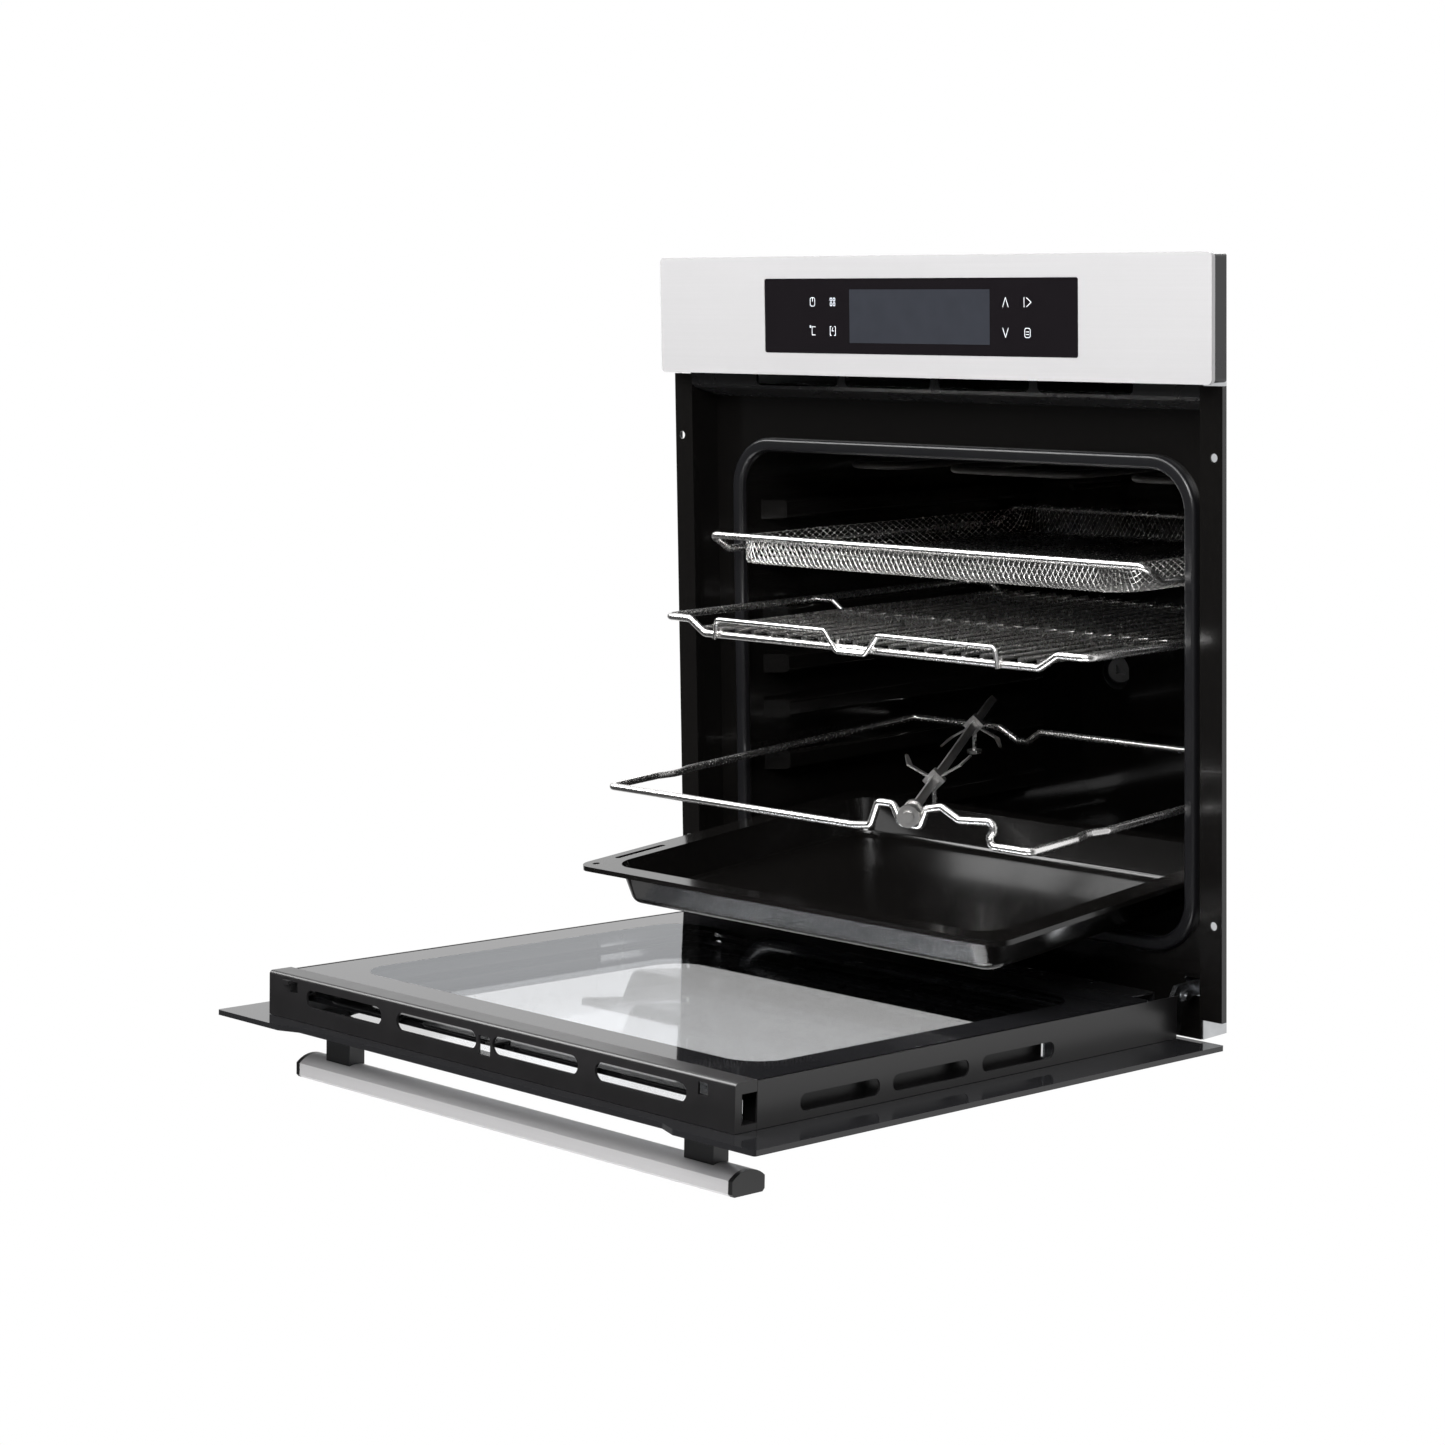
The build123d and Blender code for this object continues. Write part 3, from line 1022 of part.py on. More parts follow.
def basket_mesh():
    """Mesh basket, shown as a thin pan with rounded corners and a rolled upper edge."""
    front, back = BASKET_FRONT_Y + WIRE_R + SEAT_GAP, BASKET_BACK_Y - WIRE_R - SEAT_GAP
    top = BASKET_RIM_Z + 1.0
    mid_y = (front + back) / 2
    outer = Pos(0, mid_y, top - BASKET_MESH_DEPTH) * extrude(
        RectangleRounded(2 * BASKET_MESH_HALF_W, back - front, 24.0), BASKET_MESH_DEPTH)
    outer = fillet(outer.faces().sort_by(Axis.Z)[0].edges(), 5.0)
    inner = Pos(0, mid_y, top - BASKET_MESH_DEPTH + BASKET_MESH_T) * extrude(
        RectangleRounded(2 * (BASKET_MESH_HALF_W - BASKET_MESH_T), back - front - 2 * BASKET_MESH_T, 22.8),
        BASKET_MESH_DEPTH)
    return outer - inner


def wire_rack():
    """Welded rack: a frame wire with dipped bars, cross rods on a tie bar, and a raised guard in front."""
    x, dip = RACK_HALF_W, 183.0
    front = [(x, RACK_FRONT_Y, RACK_RAIL_Z), (dip + 18, RACK_FRONT_Y, RACK_RAIL_Z), (dip, RACK_FRONT_Y, RACK_BAR_Z)]
    back = [(px, RACK_BACK_Y, z) for px, _, z in front]
    half = list(reversed(front)) + back
    frame = wire_solid(half + [(-px, y, z) for px, y, z in reversed(half)], WIRE_R, 8.0, close=True)
    z = RACK_BAR_Z + WIRE_R + ROD_R - WELD
    rods = []
    for i in range(RACK_ROD_COUNT):
        rod_place = RACK_ROD_SPAN * (i / (RACK_ROD_COUNT - 1) - 0.5)
        rods.append(rod_y(ROD_R, (RACK_FRONT_Y - 1, RACK_BACK_Y + 1), rod_place, z))
    low, end = z - 2 * ROD_R + WELD, RACK_HALF_W
    cross = wire_solid([(-end, RACK_TIE_Y, RACK_RAIL_Z), (-208, RACK_TIE_Y, RACK_RAIL_Z), (-194, RACK_TIE_Y, low),
                        (194, RACK_TIE_Y, low), (208, RACK_TIE_Y, RACK_RAIL_Z), (end, RACK_TIE_Y, RACK_RAIL_Z)],
                       ROD_R, 5.0)
    y, foot, crest = RACK_FRONT_Y - WIRE_R - ROD_R + WELD, RACK_BAR_Z - 3, RACK_BAR_Z + 13
    guard = wire_solid([(-167, y, foot), (-164, y, crest), (-40, y, crest), (-26, y, foot), (5, y, foot),
                        (19, y, crest), (142, y, crest), (145, y, foot)], ROD_R, 4.0)
    return frame + cross + rods + guard


def rotisserie_frame():
    """Frame wire of the rotisserie: a front bar with the spit's cradle and two bumps, a back bar with a dip."""
    side, cradle = FRAME_HALF_W, (CRADLE_Z - FRAME_FRONT_Z) / cos(atan2(FRAME_DROOP, 1))
    x = SPIT_BUSH_X
    front = [(-side, 0), (x - 60, 0), (x - 42, 2), (x - 33, 21), (x - 17, 21), (x - 10, cradle), (x + 10, cradle),
             (x + 17, 21), (x + 33, 24), (x + 50, 16), (x + 91, 19), (x + 74, 0), (side, 0)]
    points = [(px, 0, z) for px, z in front]
    points += [(side, 52, 0), (side - 5, 66, 0), (side - 5, 74, 0), (side, 88, 0), (side, FRAME_DEPTH, 0)]
    points += [(px, FRAME_DEPTH, z) for px, z in ((-79, 0), (-94, -10), (-106, -10), (-126, 0))]
    points += [(-side, FRAME_DEPTH, 0), (-side, 88, 0), (-side + 5, 74, 0), (-side + 5, 66, 0), (-side, 52, 0)]
    wire = wire_solid(points, WIRE_R, 5.0, close=True)
    return drooped(wire, FRAME_DROOP, FRAME_FRONT_Y, FRAME_FRONT_Z)


def on_spit(solid):
    """A piece built on the Z axis, set on the spit's line from the bush, with the frame pulled out."""
    bush, _, way, _, _ = spit_points()
    return Plane(origin=bush, x_dir=(-way[1], way[0], 0), z_dir=tuple(way)) * solid


def stretch(radius, span):
    """A cylinder on the Z axis between two heights."""
    return Pos(0, 0, (span[0] + span[1]) / 2) * Cylinder(radius, span[1] - span[0])


def spit_rod():
    """Square spit with its turned bush: a neck in the cradle between two collars, and a threaded stub."""
    _, _, _, length, _ = spit_points()
    rod = Pos(0, 0, (length + SPIT_OVERHANG) / 2) * Rot(0, 0, 45) * Box(SPIT_SIDE, SPIT_SIDE, length + SPIT_OVERHANG)
    bush = stretch(BUSH_R, (-BUSH_COLLAR_END, BUSH_COLLAR_END)) + stretch(4.2, (-BUSH_STUB_END, 0))
    bush += stretch(BUSH_COLLAR_R, (-BUSH_COLLAR_END, -BUSH_NECK / 2))
    bush += stretch(BUSH_COLLAR_R - 1, (BUSH_NECK / 2, BUSH_COLLAR_END))
    return on_spit(rod + bush)


def fork_places():
    """Distance along the spit, prong direction along it and up or down tilt of each fork."""
    return [(138.0, 1, 30.0), (405.0, -1, -30.0)]


def spit_forks():
    """Two meat forks: a square-bored hub with two bent flat prongs each."""
    forks = []
    for at, way, tilt in fork_places():
        fork = Rot(0, 0, 45) * Box(13.0, 13.0, 11.0)
        for side in (-1, 1):
            angle = tilt if side > 0 else 180 - tilt
            prong = Pos(13, 0, 0) * Box(18.0, 1.4, 7.0)
            point = Polyline((21, -3.5 * way), (21, 3.5 * way), (29, 28 * way), (31, 25 * way), (25, -3.5 * way),
                             close=True)
            prong += Pos(0, 0.7, 0) * extrude(Plane.XZ * make_face(point), 1.4)
            fork += Rot(0, 0, angle) * prong
        fork -= Rot(0, 0, 45) * Box(SPIT_SIDE + 2 * CASING_FIT, SPIT_SIDE + 2 * CASING_FIT, 20.0)
        fork -= Pos(0, -12, 0) * Rot(90, 0, 0) * Cylinder(SCREW_R + RUNNING_FIT, 24.0)
        forks.append(on_spit(Pos(0, 0, at) * fork))
    return Compound(forks)


def fork_thumbscrews():
    """Thumb screw of each fork, tightened against the spit."""
    screws = []
    reach = SPIT_SIDE / sqrt(2) + CASING_FIT
    for at, _, _ in fork_places():
        screw = Pos(0, -reach - 9, 0) * Rot(90, 0, 0) * Cylinder(SCREW_R, 18.0)
        screw += Pos(0, -reach - 19, 0) * Rot(90, 0, 0) * Cylinder(6.5, 3.0)
        screws.append(on_spit(Pos(0, 0, at) * screw))
    return Compound(screws)


def tray_pan(grow, top):
    """Tapered rounded pan under the tray's rim, smaller by the given margin."""
    width = 2 * (TRAY_PAN_HALF_W - grow)
    depth = TRAY_DEPTH - 2 * TRAY_RIM_FRONT - 2 * grow
    pan = extrude(RectangleRounded(width, depth, 24.0 - grow), -(TRAY_PAN_H - grow), taper=16.0)
    pan = fillet(pan.faces().sort_by(Axis.Z)[0].edges(), 9.0 - grow)
    if top > 0:
        pan += extrude(RectangleRounded(width, depth, 24.0 - grow), top)
    return Pos(0, TRAY_DEPTH / 2, 0) * pan


def baking_tray():
    """Enamelled deep tray: a wide rim with a turned-down lip, a tapered pan, a slot and a hanging hole."""
    outline = RectangleRounded(2 * TRAY_HALF_W, TRAY_DEPTH, 14.0)
    body = extrude(outline, -TRAY_LIP_H)
    body -= Pos(0, 0, -TRAY_T) * extrude(
        RectangleRounded(2 * (TRAY_HALF_W - TRAY_T), TRAY_DEPTH - 2 * TRAY_T, 14.0 - TRAY_T), -TRAY_LIP_H)
    body = Pos(0, TRAY_DEPTH / 2, 0) * body + tray_pan(0.0, 0.0)
    body -= tray_pan(TRAY_T, 5.0)
    slot_x = -(TRAY_HALF_W + TRAY_PAN_HALF_W) / 2
    body -= Pos(slot_x, 61, -3) * Rot(0, 0, 90) * extrude(SlotOverall(54.0, 6.0), 5)
    body -= rod_z(3.0, (-3, 3), slot_x, 12)
    return drooped(body, TRAY_DROOP, TRAY_FRONT_Y, TRAY_FRONT_Z)


# ================================================================ export
def build_pieces():
    """Every piece by node name, in modelling coordinates, as the oven stands open."""
    pieces = {
        "front_frame": front_frame(), "vent_strip": vent_strip(), "cavity_liner": cavity_liner(),
        "cavity_gasket": cavity_gasket(), "rear_baffle": rear_baffle(), "side_panel_right": side_panel(),
        "top_panel": top_panel(), "rear_panel": rear_panel(), "base_pan": base_pan(),
        "cooling_deck": cooling_deck(), "casing_screws": casing_screws(), "insulation_wrap": insulation_wrap(),
        "grill_element": grill_element(), "bottom_element": bottom_element(), "ring_element": ring_element(),
        "convection_fan": convection_fan(), "convection_motor": convection_motor(),
        "cooling_fan_housing": cooling_fan_housing(), "cooling_rotor": cooling_rotor(),
        "cooling_motor": cooling_motor(), "air_duct": air_duct(), "lamp_holder": lamp_holder(),
        "lamp_bulb": lamp_bulb(), "lamp_lens": lamp_lens(),
        "temperature_probe": temperature_probe(), "terminal_block": terminal_block(),
        "power_board": power_board(), "fascia_panel": fascia_panel(), "fascia_carrier": fascia_carrier(),
        "display_glass": display_glass(), "control_board": control_board(),
        "rotisserie_motor": rotisserie_motor(), "rotisserie_drive_socket": drive_socket(),
        "hinge_receivers": hinge_receivers(), "hinge_arm_right": hinge_arm(), "hinge_lock_right": hinge_lock(),
        "basket_rim": basket_rim(), "basket_mesh": basket_mesh(),
        "wire_rack": wire_rack(), "rotisserie_frame": rotisserie_frame(),
        "spit_rod": spit_rod(), "spit_forks": spit_forks(), "fork_thumbscrews": fork_thumbscrews(),
        "baking_tray": baking_tray(),
    }
    door = {
        "door_outer_glass": door_outer_glass(), "door_middle_glass": door_middle_glass(),
        "door_inner_glass": door_inner_glass(), "door_top_trim": door_top_trim(),
        "door_bottom_rail": door_bottom_rail(), "door_side_profile_right": door_side_profile(),
        "door_hinge_body_right": hinge_body(), "handle_bar": handle_bar(), "handle_end_caps": handle_end_caps(),
        "handle_posts": handle_posts(), "handle_screws": handle_screws(),
    }
    pieces.update({name: opened(solid) for name, solid in door.items()})
    for name in [n for n in pieces if n.endswith("_right")]:
        pieces[name.replace("_right", "_left")] = mirrored(pieces[name])
    return pieces


def main():
    """Shift every piece to the shared origin and write one STEP file per node."""
    os.makedirs("parts", exist_ok=True)
    shift = Pos(*[-value for value in ORIGIN])
    for name, solid in build_pieces().items():
        piece = shift * solid
        piece.label = name
        export_step(piece, os.path.join("parts", f"{name}.step"))


if __name__ == "__main__":
    main()
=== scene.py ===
"""Looks of a built-in wall oven, open, with its basket, rack, rotisserie and tray pulled out.

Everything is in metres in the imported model's own frame: +X to the right seen from the front, +Y into the
cabinet, +Z up, with the origin at the centre of the four fixing holes in the front flange.
"""

from __future__ import annotations

import json
import logging
import math
from dataclasses import dataclass, field
from enum import Enum

import bmesh
import bpy
from mathutils import Matrix, Vector

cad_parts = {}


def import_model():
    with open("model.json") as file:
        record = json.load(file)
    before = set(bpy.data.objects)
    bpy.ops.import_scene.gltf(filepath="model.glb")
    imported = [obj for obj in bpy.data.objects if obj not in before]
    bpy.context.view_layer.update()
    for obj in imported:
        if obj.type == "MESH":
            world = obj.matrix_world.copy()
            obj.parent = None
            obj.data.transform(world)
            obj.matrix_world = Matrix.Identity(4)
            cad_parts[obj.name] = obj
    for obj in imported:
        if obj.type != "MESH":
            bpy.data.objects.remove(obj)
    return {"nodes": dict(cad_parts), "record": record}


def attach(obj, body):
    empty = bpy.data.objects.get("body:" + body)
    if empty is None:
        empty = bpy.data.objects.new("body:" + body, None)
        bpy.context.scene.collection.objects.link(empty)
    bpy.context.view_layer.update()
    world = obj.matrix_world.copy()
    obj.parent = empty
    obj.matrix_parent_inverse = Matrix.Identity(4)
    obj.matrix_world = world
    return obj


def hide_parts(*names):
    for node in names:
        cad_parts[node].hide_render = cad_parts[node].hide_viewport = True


LOG = logging.getLogger("wall_oven")
MM = 0.001
DATUM = Vector((0.0, 15.4, 267.75))
DOOR_AXIS = (0.0, 11.0, 9.2)
DOOR_OPEN_DEGREES = 87.5
GLASS_IOR = 1.5
WIDE_NOISE_SCALE = 9.0
COAT_ROUGHNESS = 0.04
BUMP_STRENGTH = 0.5
MIX_A, MIX_B, MIX_RESULT = 6, 7, 2  # a Mix node's colour inputs and colour output
SENSOR_WIDTH = 36.0


def place(x: float, y: float, z: float) -> Vector:
    """Point in the model's frame, given in millimetres from the centreline, fascia front and underside."""
    return (Vector((x, y, z)) - DATUM) * MM


# ---------------------------------------------------------------- shader maths
class Graph:
    """Node tree of one material, with one method that adds any node."""

    def __init__(self, material: bpy.types.Material) -> None:
        """Start an empty tree with its output."""
        material.use_nodes = True
        self.tree = material.node_tree
        self.tree.nodes.clear()
        self.output = self.tree.nodes.new("ShaderNodeOutputMaterial")

    def node(self, kind: str, settings: dict | None = None, inputs: dict | None = None) -> bpy.types.Node:
        """Add a node.

        Args:
            kind: The node's type.
            settings: Attributes set first, such as a Math node's operation.
            inputs: Values or links of its sockets, by name or by index.

        Returns:
            The new node.
        """
        made = self.tree.nodes.new(kind)
        for key, value in (settings or {}).items():
            setattr(made, key, value)
        for key, value in (inputs or {}).items():
            self.feed(made.inputs[key], value)
        return made

    def feed(self, socket: bpy.types.NodeSocket, value: object) -> None:
        """Link or set one socket."""
        if isinstance(value, Signal):
            self.tree.links.new(value.socket, socket)
        elif isinstance(value, bpy.types.NodeSocket):
            self.tree.links.new(value, socket)
        else:
            socket.default_value = value

    def signal(self, kind: str, settings: dict, inputs: dict, out: str | int = 0) -> Signal:
        """Add a node and wrap one of its outputs."""
        return Signal(self, self.node(kind, settings, inputs).outputs[out])


class Signal:
    """A number in the shader, with arithmetic."""

    def __init__(self, graph: Graph, socket: bpy.types.NodeSocket) -> None:
        """Wrap a socket."""
        self.graph = graph
        self.socket = socket

    def maths(self, operation: str, *values: object) -> Signal:
        """Add a Math node on these values."""
        inputs = dict(enumerate(values))
        return self.graph.signal("ShaderNodeMath", {"operation": operation}, inputs)

    def __add__(self, other: object) -> Signal:
        """Sum."""
        return self.maths("ADD", self, other)

    __radd__ = __add__

    def __sub__(self, other: object) -> Signal:
        """Difference."""
        return self.maths("SUBTRACT", self, other)

    def __rsub__(self, other: object) -> Signal:
        """Reflected difference."""
        return self.maths("SUBTRACT", other, self)

    def __mul__(self, other: object) -> Signal:
        """Product."""
        return self.maths("MULTIPLY", self, other)

    __rmul__ = __mul__

    def below(self, edge: float) -> Signal:
        """1 where the value is under the edge."""
        return self.maths("LESS_THAN", self, edge)

    def size(self) -> Signal:
        """Absolute value."""
        return self.maths("ABSOLUTE", self)


class Grain(Enum):
    """How a finish is broken up."""

    PLAIN = "plain"
    BRUSHED_X = "brushed along the width"
    ORANGE_PEEL = "enamel ripple"
    SPANGLE = "zinc spangle"
    FIBRE = "mineral fibre"
    DRAWN = "drawn wire"


@dataclass(frozen=True)
class Finish:
    """One surface finish.

    Args:
        name: Material name.
        slot: The record's material slot.
        color: Base colour.
        roughness: Mean roughness.
        metallic: Metal or not.
        grain: Break-up of the surface.
        variation: How far the colour varies.
        rough_span: How far the roughness varies.
        coat: Clear coat weight.
        alpha: Opacity.
        bump: Bump height in metres.
    """

    name: str
    slot: str
    color: tuple[float, float, float]
    roughness: float
    metallic: float = 0.0
    grain: Grain = Grain.PLAIN
    variation: float = 0.06
    rough_span: float = 0.05
    coat: float = 0.0
    alpha: float = 1.0
    bump: float = 0.0

    def stretch(self) -> tuple[float, float, float]:
        """Scale of the noise along each axis."""
        table = {
            Grain.PLAIN: (60.0, 60.0, 60.0),
            Grain.BRUSHED_X: (6.0, 900.0, 900.0),
            Grain.ORANGE_PEEL: (140.0, 140.0, 140.0),
            Grain.SPANGLE: (90.0, 90.0, 90.0),
            Grain.FIBRE: (300.0, 60.0, 300.0),
            Grain.DRAWN: (400.0, 400.0, 400.0),
        }
        return table[self.grain]

    def make(self) -> bpy.types.Material:
        """Build the material.

        Returns:
            The finished material.
        """
        material = bpy.data.materials.new(self.name)
        graph = Graph(material)
        coords = graph.node("ShaderNodeTexCoord").outputs["Object"]
        mapped = graph.node("ShaderNodeMapping", {}, {"Vector": coords, "Scale": self.stretch()}).outputs[0]
        noise_kind = "ShaderNodeTexVoronoi" if self.grain is Grain.SPANGLE else "ShaderNodeTexNoise"
        noise = graph.signal(noise_kind, {}, {"Vector": mapped, "Scale": 1.0}, 0)
        wide = graph.signal("ShaderNodeTexNoise", {}, {"Vector": coords, "Scale": WIDE_NOISE_SCALE}, 0)
        dark = [c * (1 - self.variation) for c in self.color] + [1.0]
        light = [min(1.0, c * (1 + self.variation)) for c in self.color] + [1.0]
        mix = graph.node("ShaderNodeMix", {"data_type": "RGBA"}, {
            "Factor": noise, MIX_A: dark, MIX_B: light})
        rough = self.roughness + self.rough_span * (noise + wide - 1.0)
        inputs = {"Base Color": mix.outputs[MIX_RESULT], "Metallic": self.metallic, "Roughness": rough,
                  "Coat Weight": self.coat, "Coat Roughness": COAT_ROUGHNESS,
                  "Alpha": self.alpha_signal(graph, coords)}
        if self.bump > 0:
            height = graph.node("ShaderNodeBump", {}, {
                "Strength": BUMP_STRENGTH, "Distance": self.bump, "Height": noise})
            inputs["Normal"] = height.outputs[0]
        shader = graph.node("ShaderNodeBsdfPrincipled", {}, inputs)
        graph.feed(graph.output.inputs["Surface"], shader.outputs[0])
        self.finish_off(graph, shader, coords, mix)
        return material

    def finish_off(self, graph: Graph, shader: bpy.types.Node, coords: bpy.types.NodeSocket,
                   mix: bpy.types.Node) -> None:
        """Last change to the shader; none here."""

    def alpha_signal(self, graph: Graph, coords: bpy.types.NodeSocket) -> object:
        """Opacity; a plain number here."""
        return self.alpha


@dataclass(frozen=True)
class DoorGlass(Finish):
    """Door glass, clear in a window and printed dark round it.

    Args:
        half_width: Half the window's width in metres.
        low: Window's lower edge above the hinge axis, along the door, in metres.
        high: Its upper edge.
        clear: Opacity in the window.
        corner: Corner radius in metres.
        mirror_share: Share of the glass's own reflection that shows.
        pale: Colour of that reflection.
    """

    half_width: float = 0.222
    low: float = 0.072
    high: float = 0.412
    clear: float = 0.0
    corner: float = 0.03
    mirror_share: float = 0.9
    pale: tuple[float, float, float] = (0.85, 0.88, 0.93)

    def finish_off(self, graph: Graph, shader: bpy.types.Node, coords: bpy.types.NodeSocket,
                   mix: bpy.types.Node) -> None:
        """Make the clear window a pale mirror, seen as strongly as glass reflects."""
        inside = self.window(graph, coords)
        pale = graph.node("ShaderNodeMix", {"data_type": "RGBA"}, {
            "Factor": inside, MIX_A: mix.outputs[MIX_RESULT], MIX_B: (*self.pale, 1.0)})
        graph.feed(shader.inputs["Base Color"], pale.outputs[MIX_RESULT])
        graph.feed(shader.inputs["Metallic"], inside)

    def alpha_signal(self, graph: Graph, coords: bpy.types.NodeSocket) -> object:
        """Opacity of the border, and how much the clear window reflects."""
        front = 1.0 - graph.signal("ShaderNodeNewGeometry", {}, {}, "Backfacing")
        mirrored = graph.signal("ShaderNodeFresnel", {}, {"IOR": GLASS_IOR})
        seen = (mirrored * self.mirror_share + self.clear) * front
        return 1.0 - self.window(graph, coords) * (1.0 - seen)

    def window(self, graph: Graph, coords: bpy.types.NodeSocket) -> Signal:
        """1 in the clear window and 0 in the printed border."""
        parts = graph.node("ShaderNodeSeparateXYZ", {}, {0: coords})
        x, y, z = (Signal(graph, parts.outputs[i]) for i in range(3))
        pivot = place(*DOOR_AXIS)
        lean = math.radians(DOOR_OPEN_DEGREES)
        along = (y - pivot.y) * -math.sin(lean) + (z - pivot.z) * math.cos(lean)
        middle, half = (self.low + self.high) / 2, (self.high - self.low) / 2
        over_x = x.size() - (self.half_width - self.corner)
        over_x = over_x.maths("MAXIMUM", over_x, 0.0)
        over_s = (along - middle).size() - (half - self.corner)
        over_s = over_s.maths("MAXIMUM", over_s, 0.0)
        square = over_x * over_x + over_s * over_s
        far = square.maths("SQRT", square)
        return far.below(self.corner)


FINISHES = (
    Finish("black vitreous enamel", "black_enamel", (0.0035, 0.0032, 0.003), 0.16, 0.0, Grain.ORANGE_PEEL,
           0.2, 0.03, 0.1, 1.0, 0.00003),
    Finish("brushed stainless steel", "brushed_steel", (0.43, 0.425, 0.43), 0.42, 0.2, Grain.BRUSHED_X,
           0.035, 0.1, 0.0, 1.0, 0.00002),
    Finish("black cap plastic", "handle_cap_black", (0.008, 0.008, 0.008), 0.35),
    Finish("satin post steel", "post_steel", (0.03, 0.03, 0.031), 0.35, 0.4, Grain.BRUSHED_X),
    Finish("smooth black moulding", "vent_black", (0.009, 0.009, 0.0095), 0.28),
    Finish("dark door moulding", "trim_dark", (0.012, 0.0115, 0.012), 0.3, 0.0, Grain.PLAIN, 0.2, 0.06),
    Finish("zinc coated sheet", "galvanised", (0.52, 0.53, 0.54), 0.38, 0.9, Grain.SPANGLE, 0.12, 0.1),
    Finish("bright zinc plate", "zinc_steel", (0.62, 0.63, 0.65), 0.25, 1.0, Grain.PLAIN, 0.08, 0.1),
    Finish("black silicone", "gasket_silicone", (0.006, 0.006, 0.007), 0.32),
    Finish("mineral wool", "mineral_wool", (0.55, 0.5, 0.36), 0.95, 0.0, Grain.FIBRE,
           0.3, 0.0, 0.0, 1.0, 0.0008),
    Finish("oxidised heating tube", "element_steel", (0.03, 0.028, 0.027), 0.5, 0.5, Grain.DRAWN, 0.2),
    Finish("dull motor steel", "motor_steel", (0.03, 0.03, 0.03), 0.55, 0.5),
    Finish("pressed fan steel", "fan_steel", (0.16, 0.16, 0.16), 0.45, 1.0),
    Finish("glazed ceramic", "lamp_ceramic", (0.75, 0.73, 0.68), 0.25),
    Finish("clear lamp glass", "lamp_glass", (0.8, 0.82, 0.84), 0.05, 0.0, Grain.PLAIN,
           0.02, 0.01, 0.0, 0.35),
    Finish("terminal plastic", "terminal_plastic", (0.02, 0.02, 0.02), 0.5),
    Finish("green solder mask", "circuit_board", (0.01, 0.09, 0.03), 0.35, 0.0, Grain.PLAIN, 0.2),
    Finish("dark display glass", "display_glass", (0.006, 0.005, 0.006), 0.06, 0.0, Grain.PLAIN, 0.1, 0.01),
    DoorGlass("dark outer glass", "door_glass_outer", (0.012, 0.012, 0.013), 0.05, 0.0, Grain.PLAIN,
              0.05, 0.01, clear=0.04, half_width=0.232, low=0.06, high=0.425),
    DoorGlass("clear inner glass", "door_glass_clear", (0.010, 0.010, 0.011), 0.04, 0.0, Grain.PLAIN,
              0.05, 0.01),
    Finish("bright chromed wire", "chrome_wire", (0.86, 0.85, 0.84), 0.27, 1.0, Grain.DRAWN, 0.05, 0.05),
    Finish("drawn spit steel", "spit_steel", (0.6, 0.59, 0.58), 0.32, 1.0, Grain.DRAWN, 0.08, 0.08),
)


class Palette:
    """All the finishes, by the record's slot."""

    def __init__(self) -> None:
        """Make every material once."""
        self.by_slot = {finish.slot: finish.make() for finish in FINISHES}

    def dress(self, nodes: dict[str, bpy.types.Object], record: dict) -> None:
        """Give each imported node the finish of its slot."""
        for entry in record["subparts"]:
            piece = nodes[entry["node"]]
            piece.data.materials.clear()
            piece.data.materials.append(self.by_slot[entry["material_slot"]])


# ---------------------------------------------------------------- set and camera
@dataclass(frozen=True)
class Viewpoint:
    """The camera: where it stands and how it looks.

    Args:
        spot: Position in the millimetres that place() takes.
        azimuth: Turn to the left of straight ahead, in degrees.
        dip: Angle below the horizon, in degrees.
        roll: Roll in degrees.
        lens: Focal length on a 36 mm sensor.
        shift: Lens shift across and up.
    """

    spot: tuple[float, float, float] = (1765.8, -1882.0, 593.2)
    azimuth: float = 44.33
    dip: float = 6.21
    roll: float = -0.65
    lens: float = 80.72
    shift: tuple[float, float] = (-0.0896, -0.0774)

    def axes(self) -> tuple[Vector, Vector, Vector]:
        """Right, up and forward directions."""
        az, dip, roll = (math.radians(v) for v in (self.azimuth, self.dip, self.roll))
        ahead = Vector((-math.sin(az) * math.cos(dip), math.cos(az) * math.cos(dip), -math.sin(dip)))
        right = Vector((math.cos(az), math.sin(az), 0.0))
        up = right.cross(ahead)
        turned = right * math.cos(roll) + up * math.sin(roll)
        return turned, up * math.cos(roll) - right * math.sin(roll), ahead

    def make(self) -> bpy.types.Object:
        """Add the camera and make it the scene's."""
        data = bpy.data.cameras.new("camera")
        data.lens = self.lens
        data.sensor_width = SENSOR_WIDTH
        data.shift_x, data.shift_y = self.shift
        data.clip_end = 100.0
        camera = bpy.data.objects.new("camera", data)
        bpy.context.scene.collection.objects.link(camera)
        right, up, ahead = self.axes()
        turn = Matrix((right, up, -ahead)).transposed().to_4x4()
        camera.matrix_world = Matrix.Translation(place(*self.spot)) @ turn
        bpy.context.scene.camera = camera
        return camera

    def point(self, across: float, up_frame: float, distance: float) -> Vector:
        """Point that shows at a place in the frame.

        Args:
            across: 0 at the frame's left edge, 1 at its right.
            up_frame: 0 at its lower edge, 1 at its upper.
            distance: Depth from the camera in metres.

        Returns:
            The point in the model's frame.
        """
        right, up, ahead = self.axes()
        scale = SENSOR_WIDTH / self.lens
        side = (across - 0.5 + self.shift[0]) * scale
        rise = (up_frame - 0.5 + self.shift[1]) * scale
        return place(*self.spot) + distance * (ahead + right * side + up * rise)


def camera_only(piece: bpy.types.Object) -> None:
    """Hide a set piece from every ray but the camera's and those that pass through glass."""
    piece.visible_diffuse = False
    piece.visible_glossy = False
    piece.visible_shadow = False
    piece.visible_transmission = False


